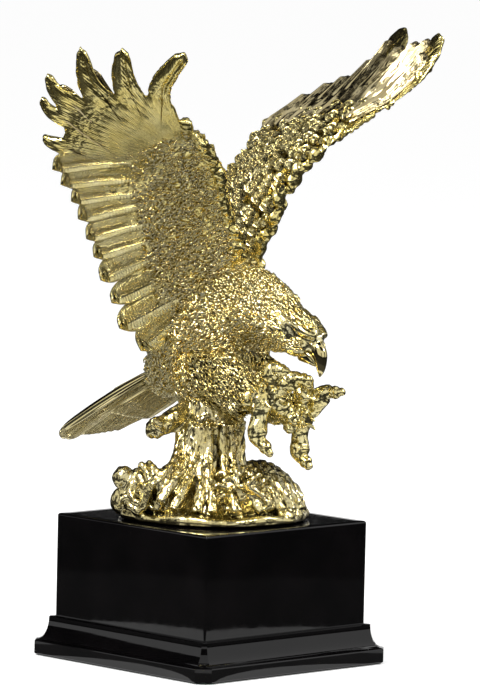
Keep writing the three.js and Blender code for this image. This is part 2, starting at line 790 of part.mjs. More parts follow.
// Tiers on the neck, breast and rump, from the crown down to the tail
function bodyCoat() {
  const rows = torsoShares.slice().reverse();
  const skinPlace = ovalSkin(
    rows.map(([forward, up]) => bodyPoint(forward, up)),
    rows.map(([, , wide]) => wide * bodyHalfWidth),
    rows.map(([, , , deep]) => deep * bodyHalfDepth),
  );
  const tiers = [
    { startShare: 0.16, degrees: [25, 97, 165, 218, 322] },
    { startShare: 0.32, degrees: [208, 247, 293, 332] },
    { startShare: 0.5, degrees: [218, 322] },
    { startShare: 0.68, degrees: [212, 328] },
    { startShare: 0.84, degrees: [208, 332] },
  ];
  return join(plumes(skinPlace, bodyLength, tiers));
}

// Hooked beak: down and back from the brow, shares of its length
function beak() {
  const root = bodyPoint(0.94, 0.65);
  const pathShares = [[0, 0], [0.3, -0.1], [0.5, -0.36], [0.48, -0.68], [0.28, -0.98]];
  const points = pathShares.map(([forward, up]) => root.clone().add(point(0, forward * beakLength, up * beakLength)));
  return limb(points, [1.15, 1.1, 0.95, 0.7, 0.45, 0.14].map((share) => share * beakHalfWidth), 10);
}

function thigh(side, ankleUp) {
  const ankle = point(side * legSide, legReach, ankleUp);
  const hip = bodyPoint(0.34, 0.42, side * legSide * 0.7);
  const knee = hip.clone().lerp(ankle, 0.5);
  knee.z += legRadius * 0.25;
  const radii = [1.8, 1.7, 1.45, 1.2, 1].map((share) => share * legRadius);
  const line = new THREE.CatmullRomCurve3([hip, knee, ankle]);
  const middles = radii.map((radius, k) => line.getPoint(k / (radii.length - 1)));
  const tiers = [
    { startShare: 0.06, degrees: [270, 270 + 70 * side, 270 + 130 * side] },
    { startShare: 0.5, degrees: [270 - 45 * side, 270 + 35 * side, 270 + 110 * side] },
  ];
  const coat = plumes(ovalSkin(middles, radii, radii), hip.distanceTo(ankle), tiers);
  return limb([hip, knee, ankle], radii, 12).add(join(coat));
}

function belly() {
  return ball(bodyPoint(0.36, 0.3), bodyHalfWidth * 0.75, bodyHalfDepth * 0.85, bodyHalfDepth * 0.8);
}

function bodyHollow() {
  const middle = bodyPoint(0.35, 0.66);
  return ball(middle, bodyHalfWidth * 0.62, bodyHalfDepth * 0.55, bodyHalfDepth * 0.55)
    .add(upright(spigotRadius + fitGap, seatUp - overrun, middle.z));
}

// Feet

// Toes of each foot: three places after the palm, as shares of a toe's full length (side, forward, up)
const rightToeShares = [
  [[-0.05, -0.02, -0.33], [-0.1, 0, -0.64], [-0.02, 0.24, -0.94]],
  [[0.03, 0.1, 0.25], [0.06, 0.18, 0.5], [0.18, 0.42, 0.48]],
  [[0.16, 0.2, 0.16], [0.28, 0.44, 0.34], [0.42, 0.72, 0.36]],
  [[0.2, 0.08, -0.1], [0.36, 0.2, -0.22], [0.42, 0.36, -0.42]],
];
const leftToeShares = [
  [[0, -0.02, -0.36], [-0.03, 0.04, -0.62], [0, 0.24, -0.84]],
  [[0.12, 0.12, 0.12], [0.22, 0.32, 0.42], [0.38, 0.62, 0.47]],
  [[0.04, 0, 0.22], [0, 0.04, 0.44], [0, 0.22, 0.66]],
  [[-0.16, 0.02, -0.02], [-0.32, 0.06, -0.04], [-0.44, 0.18, -0.2]],
];
const toeBulgeShares = [1.1, 0.92, 1.06, 0.84, 0.96, 0.62, 0.14];

function foot(side, ankleUp, palmUp, toeShares) {
  const ankle = point(side * legSide, legReach + fitGap, ankleUp);
  const palm = point(side * legSide, legReach + shankLength, palmUp);
  const solids = [
    limb([ankle, ankle.clone().lerp(palm, 0.5), palm], [1.2, 1, 0.95, 1.05].map((share) => share * ankleRadius), 10),
    ball(palm, palmRadius, palmRadius * 0.8, palmRadius * 1.05),
    footSpigot(side, ankleUp, 0),
  ];
  for (const places of toeShares) {
    const points = [palm, ...places.map(([x, forward, up]) => (
      palm.clone().add(point(x * toeLength, forward * toeLength, up * toeLength))))];
    solids.push(limb(points, toeBulgeShares.map((share) => share * toeRadius), 8));
  }
  const cut = block(2 * legRadius, legReach + fitGap, ankleUp - 2 * legRadius, ankleUp + 2 * legRadius, side * legSide)
    .subtract(footSpigot(side, ankleUp, 0));
  return join(solids).subtract(cut).subtract(footPin(side, ankleUp, fitGap));
}

function footSpigot(side, ankleUp, gap) {
  return bar(point(side * legSide, legReach - footSpigotLength - gap, ankleUp),
    point(side * legSide, legReach + 2 * overrun, ankleUp), footSpigotRadius + gap, 16);
}

function footPin(side, ankleUp, gap, tail = 0) {
  const half = footPinLength / 2 + gap;
  const forward = legReach - footSpigotLength / 2;
  return bar(point(side * (legSide - half), forward, ankleUp), point(side * (legSide + half + tail), forward, ankleUp),
    footPinRadius + gap, 12);
}

// Tail

// Places on the tail: down its length, across the fan and out of its upper face
function tailPlace(along, across, above = 0) {
  const droop = THREE.MathUtils.degToRad(tailDroop);
  const bank = THREE.MathUtils.degToRad(tailBank) * (1 - THREE.MathUtils.clamp(along / tailLength, 0, 1));
  const down = point(0, -Math.cos(droop), -Math.sin(droop));
  const side = new THREE.Vector3(1, 0, 0).applyAxisAngle(down, bank);
  const face = side.clone().cross(down).multiplyScalar(-1);
  return point(0, tailSink - rumpBack, seatUp + tailRootRise)
    .addScaledVector(down, along).addScaledVector(side, across).addScaledVector(face, above);
}

function tailSpigot(gap) {
  return bar(tailPlace(-tailSpigotLength - gap, 0), tailPlace(overrun + tailThick, 0), tailSpigotRadius + gap, 16);
}

function tailPin(gap, tail = 0) {
  const along = -tailSpigotLength / 2;
  const half = tailPinLength / 2 + gap;
  return bar(tailPlace(along, -half), tailPlace(along, half + tail), tailPinRadius + gap, 12);
}

function tailFan() {
  const count = 7;
  const solids = [];
  for (let k = 0; k < count; k += 1) {
    const share = 2 * k / (count - 1) - 1;
    solids.push(feather(tailPlace, {
      from: [0, share * tailHalfWidth * 0.55],
      to: [tailLength * (1 - 0.06 * share * share), share * tailHalfWidth * 0.9],
      width: tailHalfWidth * 0.75,
      thick: tailThick,
      lift: tailThick * 0.35 * (1 - Math.abs(share)),
    }));
  }
  return join(solids).subtract(torso(fitGap)).add(tailSpigot(0)).subtract(tailPin(fitGap));
}

// Assembly

const rightPlace = wingFrame(rightPose);
const leftPlace = wingFrame(leftPose);

function eagleBody() {
  const seat = upright(trunkRadius + 2.5 * fluteDeep + fitGap, boxTop, seatUp)
    .add(block(2 * bodyHalfWidth, bodyLength, boxTop, seatUp, 0, bodyLength));
  const tools = [
    seat,
    bodyHollow(),
    crossPin(fitGap),
    wingTenon(rightPlace, fitGap),
    wingTenon(leftPlace, fitGap),
    wingPins(rightPlace, fitGap, overrun * 5),
    wingPins(leftPlace, fitGap, overrun * 5),
    tailSpigot(fitGap),
    tailPin(fitGap, bodyHalfWidth),
    footSpigot(-1, rightAnkleUp, fitGap),
    footSpigot(1, leftAnkleUp, fitGap),
    footPin(-1, rightAnkleUp, fitGap, legRadius),
    footPin(1, leftAnkleUp, fitGap, legRadius),
  ];
  const ends = block(2.5 * legSide, legRadius, leftAnkleUp - 2.4 * legRadius, rightAnkleUp + 2.2 * legRadius,
    0, -legReach - legRadius);
  return join([torso(0), bodyCoat(), beak(), belly(), thigh(-1, rightAnkleUp), thigh(1, leftAnkleUp)])
    .subtract(ends)
    .subtract(join(tools));
}

addPiece('felt_pad', feltPad(), felt);
addPiece('base_plate', basePlate(), steel);
addPiece('plinth_skirt', plinthSkirt(), blackGloss);
addPiece('plinth_box', plinthBox(), blackGloss);
screwPlaces.forEach((place, k) => addPiece(`plate_screw_${k + 1}`, plateScrew(place), zinc));
addPiece('backing_plate', backingPlate(), steel);
addPiece('rod_washer', rodWasher(), zinc);
addPiece('rod_nut', rodNut(), zinc);
addPiece('clamp_rod', clampRod(), zinc);
addPiece('stump_insert', stumpInsert(), brassPart);
addPiece('tree_stump', treeStump(), gold);
addPiece('stump_cross_pin', crossPin(0), steel);
addPiece('eagle_body', eagleBody(), gold);
addPiece('right_wing', wing(rightPlace), gold);
addPiece('left_wing', wing(leftPlace), gold);
for (const [name, place] of [['right', rightPlace], ['left', leftPlace]]) {
  for (const [end, share] of Object.entries(wingPinShares)) {
    addPiece(`${name}_wing_pin_${end}`, wingPin(place, share, 0), steel);
  }
}
addPiece('tail_fan', tailFan(), gold);
addPiece('tail_pin', tailPin(0), steel);
addPiece('right_foot', foot(-1, rightAnkleUp, seatUp + rightPalmRise, rightToeShares), gold);
addPiece('left_foot', foot(1, leftAnkleUp, seatUp + leftPalmRise, leftToeShares), gold);
addPiece('right_foot_pin', footPin(-1, rightAnkleUp, 0), steel);
addPiece('left_foot_pin', footPin(1, leftAnkleUp, 0), steel);

export default statuette;
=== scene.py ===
# A gold plated eagle on a tree stump and a black moulded plinth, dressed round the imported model.
# Forms are worked out in millimetres, as (side, back, up), and become metres when a piece is made.
# +X is the bird's left, the bird looks toward -Y, and +Z is up.

import json
import math

import bpy
import numpy as np
from mathutils import Matrix, Vector, noise


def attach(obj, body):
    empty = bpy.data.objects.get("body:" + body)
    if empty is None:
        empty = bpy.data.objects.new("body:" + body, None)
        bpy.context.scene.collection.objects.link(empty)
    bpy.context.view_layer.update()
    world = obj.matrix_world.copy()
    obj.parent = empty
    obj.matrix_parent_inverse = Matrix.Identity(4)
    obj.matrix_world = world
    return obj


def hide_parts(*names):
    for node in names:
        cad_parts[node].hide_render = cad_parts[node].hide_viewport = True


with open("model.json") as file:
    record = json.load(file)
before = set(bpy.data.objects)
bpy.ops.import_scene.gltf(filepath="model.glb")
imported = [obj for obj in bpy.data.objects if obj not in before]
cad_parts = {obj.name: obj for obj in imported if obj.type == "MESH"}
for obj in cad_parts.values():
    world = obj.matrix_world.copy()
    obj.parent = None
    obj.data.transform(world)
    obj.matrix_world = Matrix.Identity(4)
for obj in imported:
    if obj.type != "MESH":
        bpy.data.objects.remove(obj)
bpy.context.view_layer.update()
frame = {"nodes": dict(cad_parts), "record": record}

MM = 0.001
BODY = "root"

# Plinth
BOX_HALF = 60
BOX_TOP = 78.4
BOX_FOOT = 8
BOX_WALL = 5
BOX_EDGE = 1.2
BORE_HALF = 4
SLAB_LOW = 1
SLAB_TOP = 8.7
SLAB_REACH = 10.8
SLAB_CHAMFER = 6.4
SLAB_EDGE = 0.7
LIP_TOP = 21.2
LIP_REACH = 3.3
LIP_CHAMFER = 2.1
LIP_ROUND = 0.35
INNER_CUT = 0.05
LEDGE_WIDTH = 15
BASE_PLATE_TOP = 5
BASE_PLATE_HALF = 56
FIT_GAP = 0.3

# Bird
SEAT_UP = 138
BODY_LENGTH = 130
RUMP_BACK = 46
BODY_RISE = 60
BODY_HALF_WIDTH = 26
BODY_HALF_DEPTH = 31
LEG_SIDE = 14.5
LEG_REACH = 39
RIGHT_ANKLE_UP = 147
LEFT_ANKLE_UP = 138.5
RIGHT_PALM_UP = 149.5
LEFT_PALM_UP = 137.5

# Wings
WING_REACH = 166
WING_CHORD = 68
SHOULDER_SIDE = 12
SHOULDER_FORWARD = 20
SHOULDER_UP = 219

# Tail
TAIL_LENGTH = 80
TAIL_ROOT_BACK = 40
TAIL_ROOT_UP = 148
TAIL_DROOP = 26
TAIL_BANK = 40
TAIL_HALF_WIDTH = 17


# Small sums

def unit(vectors):
    """Vectors of length one."""
    length = np.linalg.norm(vectors, axis=-1, keepdims=True)
    return vectors / np.maximum(length, 1e-9)


def ease(x):
    """Smooth step from 0 to 1."""
    x = np.clip(x, 0, 1)
    return x * x * (3 - 2 * x)


def forward(rows):
    """Rows of (side, forward, up, ...) as (side, back, up, ...)."""
    rows = np.array(rows, float)
    rows[..., 1] *= -1
    return rows


def smooth_line(rows, steps):
    """A smooth line through rows of numbers, with that many points."""
    rows = np.asarray(rows, float)
    first = 2 * rows[0] - rows[1]
    last = 2 * rows[-1] - rows[-2]
    padded = np.vstack([first, rows, last])
    at = np.linspace(0, len(rows) - 1, steps)
    k = np.minimum(at.astype(int), len(rows) - 2)
    t = (at - k)[:, None]
    a, b, c, d = padded[k], padded[k + 1], padded[k + 2], padded[k + 3]
    return 0.5 * (2 * b + (c - a) * t + (2 * a - 5 * b + 4 * c - d) * t**2
                  + (3 * b - a - 3 * c + d) * t**3)


def rough(points, size, octaves=3):
    """Fractal noise over points, that changes over size."""
    return np.array([noise.fractal(Vector(p), 0.8, 2.1, octaves) for p in points / size])


def wave(phase):
    """A crisp wave from -1 to 1 with one rise and one quicker fall."""
    phase = phase - np.floor(phase)
    return np.where(phase < 0.7, phase / 0.7, (1 - phase) / 0.3) * 2 - 1


# Meshes

class Form:
    """Closed skins gathered into one piece. Grain is the count of fine ridges at each point."""

    def __init__(self):
        self.points = []
        self.quads = []
        self.tris = []
        self.grain = []
        self.count = 0

    def add(self, skin, grain=None):
        points, quads, tris = skin
        self.points.append(points)
        self.quads.append(quads + self.count)
        self.tris.append(tris + self.count)
        self.grain.append(np.zeros(len(points)) if grain is None else grain)
        self.count += len(points)

    def skins(self):
        return np.vstack(self.points), np.vstack(self.quads), np.vstack(self.tris)


def loft(rings):
    """Closed skins over rings of points, from an array of (skins, rings, points, 3)."""
    if rings.ndim == 3:
        rings = rings[None]
    skins, rows, sides, _ = rings.shape
    hubs = rings[:, [0, -1]].mean(axis=2)
    points = np.concatenate([rings.reshape(skins, rows * sides, 3), hubs], axis=1)
    k, j = np.meshgrid(np.arange(rows - 1), np.arange(sides), indexing="ij")
    a = k * sides + j
    b = k * sides + (j + 1) % sides
    quads = np.stack([a, b, b + sides, a + sides], -1).reshape(-1, 4)
    j = np.arange(sides)
    after = (j + 1) % sides
    start = np.full(sides, rows * sides)
    tris = np.concatenate([
        np.stack([start, after, j], -1),
        np.stack([start + 1, (rows - 1) * sides + j, (rows - 1) * sides + after], -1),
    ])
    if volume(points[0], quads, tris) < 0:
        quads = quads[:, ::-1]
        tris = tris[:, ::-1]
    offset = np.arange(skins)[:, None, None] * (rows * sides + 2)
    return points.reshape(-1, 3), (quads + offset).reshape(-1, 4), (tris + offset).reshape(-1, 3)


def loft_grain(grain):
    """Grain of lofted rings, from an array of (skins, rings, points)."""
    skins = grain.shape[0]
    return np.concatenate([grain.reshape(skins, -1), np.zeros((skins, 2))], axis=1).ravel()


def volume(points, quads, tris):
    total = 0
    for corners in (quads[:, [0, 1, 2]], quads[:, [0, 2, 3]], tris):
        a, b, c = points[corners].transpose(1, 0, 2)
        total += np.einsum("ij,ij->", a, np.cross(b, c))
    return total


def limb(rows, sides=16, steps=24, ripple=None, squash=1):
    """A round limb through rows of (side, forward, up, radius)."""
    line = smooth_line(forward(rows), steps)
    middles, radii = line[:, :3], np.maximum(line[:, 3], 0.05)
    along = unit(np.gradient(middles, axis=0))
    across = np.array([1.0, 0, 0])
    turn = np.linspace(0, 2 * np.pi, sides, endpoint=False)
    rings = []
    for k in range(steps):
        across = unit(across - along[k] * (across @ along[k]))
        third = np.cross(along[k], across)
        radius = radii[k] * (1 if ripple is None else ripple(k / (steps - 1), turn))
        rings.append(middles[k]
                     + (radius * np.cos(turn) * squash)[:, None] * across
                     + (radius * np.sin(turn))[:, None] * third)
    return loft(np.array(rings))


def ball(side, ahead, up, width, length, height, steps=16):
    """A ball stretched along the three axes, by its middle and half sizes."""
    tilt = np.linspace(0.08, np.pi - 0.08, steps)
    turn = np.linspace(0, 2 * np.pi, 2 * steps, endpoint=False)
    rings = np.stack([
        side + width * np.sin(tilt)[:, None] * np.cos(turn),
        -ahead + length * np.sin(tilt)[:, None] * np.sin(turn),
        np.broadcast_to(up + height * np.cos(tilt)[:, None], (steps, 2 * steps)),
    ], -1)
    return loft(rings)


def to_mesh(name, points, quads, tris):
    mesh = bpy.data.meshes.new(name)
    corners = np.concatenate([quads.ravel(), tris.ravel()]).astype(np.int32)
    totals = np.concatenate([np.full(len(quads), 4), np.full(len(tris), 3)])
    mesh.vertices.add(len(points))
    mesh.vertices.foreach_set("co", (points * MM).astype(np.float32).ravel())
    mesh.loops.add(len(corners))
    mesh.loops.foreach_set("vertex_index", corners)
    mesh.polygons.add(len(totals))
    mesh.polygons.foreach_set("loop_start", (np.cumsum(totals) - totals).astype(np.int32))
    mesh.update(calc_edges=True)
    mesh.validate()
    return mesh


def make_piece(form, name, material, replaced=(), sharp=None):
    """A finished piece of the object, which rides on the body."""
    mesh = to_mesh(name, *form.skins())
    mesh.polygons.foreach_set("use_smooth", np.ones(len(mesh.polygons), bool))
    if sharp is not None:
        mesh.set_sharp_from_angle(angle=math.radians(sharp))
    grain = mesh.attributes.new("grain", "FLOAT", "POINT")
    grain.data.foreach_set("value", np.concatenate(form.grain).astype(np.float32))
    mesh.materials.append(material)
    piece = bpy.data.objects.new(name, mesh)
    bpy.context.scene.collection.objects.link(piece)
    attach(piece, BODY)
    if replaced:
        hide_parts(*replaced)
    return piece


def fuse(form, voxel, smoothing):
    """One skin round overlapping skins, as points, quads and triangles."""
    scratch = bpy.data.objects.new("scratch", to_mesh("scratch", *form.skins()))
    bpy.context.scene.collection.objects.link(scratch)
    remesh = scratch.modifiers.new("remesh", "REMESH")
    remesh.mode = "VOXEL"
    remesh.voxel_size = voxel * MM
    relax = scratch.modifiers.new("relax", "SMOOTH")
    relax.factor = 0.5
    relax.iterations = smoothing
    shown = scratch.evaluated_get(bpy.context.evaluated_depsgraph_get())
    mesh = shown.to_mesh()
    points = np.zeros(len(mesh.vertices) * 3)
    mesh.vertices.foreach_get("co", points)
    totals = np.zeros(len(mesh.polygons), int)
    mesh.polygons.foreach_get("loop_total", totals)
    starts = np.zeros(len(mesh.polygons), int)
    mesh.polygons.foreach_get("loop_start", starts)
    corners = np.zeros(len(mesh.loops), int)
    mesh.loops.foreach_get("vertex_index", corners)
    quads = corners[starts[totals == 4][:, None] + np.arange(4)]
    tris = corners[starts[totals == 3][:, None] + np.arange(3)]
    shown.to_mesh_clear()
    data = scratch.data
    bpy.data.objects.remove(scratch)
    bpy.data.meshes.remove(data)
    return points.reshape(-1, 3) / MM, quads, tris


def normals_of(points, quads):
    """Outward directions at the points of a skin of quads."""
    a, b, c, d = points[quads].transpose(1, 0, 2)
    face = np.cross(c - a, d - b)
    total = np.zeros_like(points)
    for k in range(4):
        np.add.at(total, quads[:, k], face)
    return unit(total)


def thin_out(points, spacing, rng):
    """Indices of points about spacing apart, the same each run."""
    order = rng.permutation(len(points))
    cells = np.floor(points[order] / spacing).astype(int)
    _, first = np.unique(cells, axis=0, return_index=True)
    return order[np.sort(first)]


# Section of a small feather as shares of its half width and its thickness
TUFT_SECTION_SHARES = np.array([[-1, 0], [0, 0.9], [1, 0], [0, -0.6]])
# Its width at stations along it, as shares
TUFT_STATION_SHARES = [0, 0.3, 0.6, 0.85, 1]
TUFT_WIDTH_SHARES = [0.5, 0.95, 1, 0.67, 0.248]


def tufts(places, normals, flows, lengths, widths, rng, rise=0.22, bend=0.35):
    """Small curled feathers rooted at places, as a skin and its grain."""
    count = len(places)
    sides = np.cross(normals, flows)
    steps = np.linspace(0, 1, 5)
    shape = np.interp(steps, TUFT_STATION_SHARES, TUFT_WIDTH_SHARES)
    drift = rng.normal(0, bend, count)[:, None] * (steps**2 - 0.4 * steps)
    climb = (rise + rng.normal(0, 0.3 * rise, count))[:, None] * np.sin(steps * 1.9) - 0.1
    twist = rng.normal(0, 0.35, count)[:, None] * steps
    middle = (places[:, None]
              + flows[:, None] * (lengths[:, None] * steps)[..., None]
              + sides[:, None] * (lengths[:, None] * drift)[..., None]
              + normals[:, None] * (lengths[:, None] * climb)[..., None])
    half = widths[:, None] / 2 * shape
    across = TUFT_SECTION_SHARES[:, 0] * half[..., None]
    above = TUFT_SECTION_SHARES[:, 1] * half[..., None] * 0.8 + np.sin(twist)[..., None] * across
    rings = (middle[:, :, None]
             + sides[:, None, None] * across[..., None]
             + normals[:, None, None] * above[..., None])
    grain = np.broadcast_to(across / 0.55, rings.shape[:3])
    return loft(rings), loft_grain(grain)


# Wings

# Stations along the bone at which a wing's climb and tip angles are given
SPAN_SHARES = [0, 0.18, 0.36, 0.6, 0.84, 1.08]
WRIST = (72, -22)

# Outline of the skin between the feathers: station, then the right and left wing's leading edges
# and their trailing edges
PANEL_SHARES = np.array([
    [-0.05, -0.12, 0.02, 0.66, 0.66], [0.05, -0.2, -0.05, 0.74, 0.74], [0.14, -0.26, -0.17, 0.8, 0.8],
    [0.2, -0.32, -0.26, 0.8, 0.78], [0.28, -0.4, -0.35, 0.72, 0.72], [0.36, -0.47, -0.47, 0.66, 0.7],
    [0.44, -0.53, -0.54, 0.6, 0.73], [0.5, -0.53, -0.58, 0.52, 0.8], [0.57, -0.46, -0.64, 0.4, 0.86],
    [0.64, -0.46, -0.72, 0.2, 0.94], [0.7, -0.5, -0.8, 0.02, 0.9], [0.76, -0.52, -0.84, -0.15, 0.84],
])

# Each wing. Angles are in degrees and lifts out of the underside. hand is the edge of the smooth
# hand from the wrist round to the rear, along and across the wing. Each finger has the place where
# it leaves the hand, its tip, and its half width there, half way and near the tip. Each primary,
# on the back of the hand, has its quill, its tip and its width.
RIGHT_WING = {
    "name": "wing_right", "node": "right_wing", "seed": 11, "side": -1, "front": 1, "rear": 3,
    "climb": [50, 42, 42, 44, 50, 60], "tip": [48, 45, 38, 27, 22, 20],
    "secondary_lift": 0.6, "primary_lift": -1.9, "primary_tilt": 0.08,
    "finger_curls": [-0.8] * 6, "rim": [(90, -34), (100, -34)], "rim_size": 3.4,
    "hand": [
        (81, -26.5), (95, -29.6), (103, -31.9), (114, -35.3), (121, -33), (126.9, -24.8), (130.5, -17),
        (131.1, -8.3), (133, 0), (132.6, 9.9), (135, 19), (134, 26), (126, 30), (118.1, 31.3), (112, 37),
        (104, 40), (90, 43), (66, 42),
    ],
    "fingers": [
        ((122.7, -31.1), (149, -60.4), (6.4, 5.9, 4.6)), ((129, -16.6), (160.2, -27), (8.2, 6.3, 4)),
        ((131.9, 0.8), (166, -3.7), (9.1, 5.6, 2.9)), ((134, 19), (154, 22.9), (8.6, 4.3, 2.6)),
        ((126, 28), (141.1, 33.5), (5.4, 3.6, 2.2)), ((109.5, 36.5), (118.8, 45.4), (6, 3.8, 2.2)),
    ],
    "primaries": [
        (92, -14, 132, -39, 7), (92, -11, 146, -21.5, 9), (94, -4, 150, -1.8, 10), (94, 4, 144, 20.5, 10),
        (94, 12, 132, 29.5, 9), (92, 20, 112, 38, 9),
    ],
}
LEFT_WING = {
    "name": "wing_left", "node": "left_wing", "seed": 12, "side": 1, "front": 2, "rear": 4,
    "climb": [88, 76, 43, 31, 37, 52], "tip": [22, 18, 14, 12, 20, 28],
    "secondary_lift": -2.2, "primary_lift": -2.8, "primary_tilt": 0.24,
    "finger_curls": [-0.8, -0.8, -1.5, -0.8, -0.8, -0.8],
    "rim": [(74, -42), (90, -47), (107, -57), (120, -67), (131, -72)], "rim_size": 2,
    "hand": [
        (74, -41), (86, -45), (97, -50), (106, -57), (116, -64), (126, -62), (130, -48), (134, -38),
        (139, -30), (144, -18), (145, -4), (143, 8), (142, 20), (142, 34), (143, 48), (139, 60), (127, 65),
        (110, 65), (92, 56), (70, 49),
    ],
    "fingers": [
        ((119, -59), (149, -65), (12, 10.5, 6)), ((131, -42), (149, -45.5), (7, 5, 3.4)),
        ((141, -9), (174, 7), (16, 13.5, 8)), ((136, 30), (145, 32), (7, 5, 3)),
        ((133, 44), (143.5, 51), (7, 5, 3)), ((122, 56), (134, 65), (7, 5, 3)),
    ],
    "primaries": [
        (84, -36, 131, -66, 13), (86, -30, 143, -61, 13), (88, -21, 146, -46, 13), (90, -11, 150, -26, 13),
        (90, 0, 164, 0, 13), (90, 12, 150, 6, 13), (90, 24, 141, 24, 13), (90, 36, 141, 42, 13),
        (90, 47, 135, 58, 13),
    ],
}

# Quill and tip of each long feather of the arm: span and chord, twice, and the widths in millimetres
SECONDARY_SHARES = np.array([
    [0.53, 0.03, 0.617, 0.7], [0.455, 0.06, 0.56, 0.71], [0.4, 0.1, 0.495, 0.715],
    [0.355, 0.13, 0.432, 0.75], [0.285, 0.17, 0.361, 0.79], [0.215, 0.2, 0.294, 0.83],
    [0.16, 0.2, 0.213, 0.9], [0.06, 0.2, 0.108, 0.94], [-0.02, 0.15, -0.011, 1],
    [-0.04, 0.17, -0.125, 0.95],
])
SECONDARY_WIDTHS = [13.5, 13.5, 13.5, 14, 14.5, 14.5, 16.5, 19, 21, 21]
SECONDARY_THICK = 2.8
PRIMARY_THICK = 2.6
SCALE_THICK = 2.2
# Barbs: angle to the shaft in degrees, pitch and depth
SECONDARY_BARBS = (42, 1.4, 0.36)
PRIMARY_BARBS = (6, 15, 0.4)
SCALE_BARBS = (24, 1.3, 0.24)
FINGER_GROOVE_SHARES = [-0.35, -0.35, -0.35, 0.3, 0.3, 0.3]
# How far down the chord the small tufts reach, by span, on the underside and on the back
DOWN_SHARES = [(-0.1, 0.94), (0.1, 0.8), (0.2, 0.7), (0.43, 0.66), (0.56, 0.62)]
BACK_DOWN_SHARES = [(0, 0.12), (1, 0.12)]
DOWN_LENGTH = 3.6
# Rows of scales on the back: share of the chord, and length and width in millimetres
SCALE_ROWS = [
    (0.88, 14, 9.5), (0.76, 14, 9.5), (0.63, 13.5, 9.5), (0.5, 13, 9), (0.37, 12.5, 9), (0.24, 12, 8.6),
    (0.12, 10, 8), (0.02, 8, 7),
]
# Marginal feathers along the arm: size, spacing, and how far they lie behind the leading edge
LUMP_SIZE = 3.6
LUMP_SPACING = 3.4
RIM_SPACING = 3.2
LUMP_INSET = 3
WING_VOXEL = 0.6


def wing_frame(wing):
    """Turns (along the bone, across the chord, out of the underside) into places."""
    side = wing["side"]
    stations = np.linspace(-0.3, 1.3, 321) * WING_REACH
    climb = np.radians(np.interp(stations, np.array(SPAN_SHARES) * WING_REACH, wing["climb"]))
    tip = np.radians(np.interp(stations, np.array(SPAN_SHARES) * WING_REACH, wing["tip"]))
    none = np.zeros_like(climb)
    bone = np.stack([side * np.cos(climb), none, np.sin(climb)], -1)
    down = np.stack([side * np.sin(climb), none, -np.cos(climb)], -1)
    chord = np.stack([none, np.cos(tip), none], -1) + np.sin(tip)[:, None] * down
    under = -side * np.cross(bone, chord)
    step = stations[1] - stations[0]
    middle = np.vstack([np.zeros(3), np.cumsum((bone[1:] + bone[:-1]) / 2 * step, axis=0)])
    root = [side * SHOULDER_SIDE, -SHOULDER_FORWARD, SHOULDER_UP]
    middle += root - np.array([np.interp(0, stations, middle[:, k]) for k in range(3)])

    def at(table, along):
        return np.stack([np.interp(along, stations, table[:, k]) for k in range(3)], -1)

    def place(points):
        along, across, below = points[..., 0], points[..., 1], points[..., 2]
        return (at(middle, along) + at(chord, along) * across[..., None]
                + at(under, along) * below[..., None])

    return place


# Width of a large feather at stations along it, as shares, and how strongly its face bulges
FEATHER_STATION_SHARES = [0, 0.35, 0.7, 1]
FEATHER_WIDTH_SHARES = [0.6, 0.9, 1, 0.96]
CAMBER = 0.06


def feather_outline(t, blunt):
    """Share of a feather's full width along it, whose end is round over the blunt share."""
    end = np.clip(t - 1 + blunt, 0, 1) / blunt
    return (np.interp(t, FEATHER_STATION_SHARES, FEATHER_WIDTH_SHARES)
            * np.sqrt(np.clip(1 - end ** 2.2, 0.0004, 1)))


def barb_fade(y, reach, left, t):
    """How strongly the barbs show, less toward the shaft, the edges and both ends."""
    return (ease((reach - 0.5) / 0.8) * ease((0.97 - np.abs(y)) / 0.2)
            * ease((left - 2) / 2) * ease(t / 0.1))


def feather_section(y, half, left, thick, rib, rim, knob):
    """Heights of a feather's face with its rib and dimpled knob, and of its raised rim."""
    near_tip = ease(1 - left / 5)
    ridge = rib * thick * np.exp(-((y * half / 0.8) ** 2)) * (1 - near_tip)
    lip = rim * thick * np.exp(-((np.abs(y) - 0.8) / 0.14) ** 2)
    dent = np.exp(-((left - 3.2) / 1.1) ** 2 - (y * 1.6) ** 2)
    dimple = knob * (near_tip * (1 - y**2) - 1.3 * dent)
    body = (1 - y**2) ** 0.6
    return thick / 2 * body + ridge + dimple, lip * body


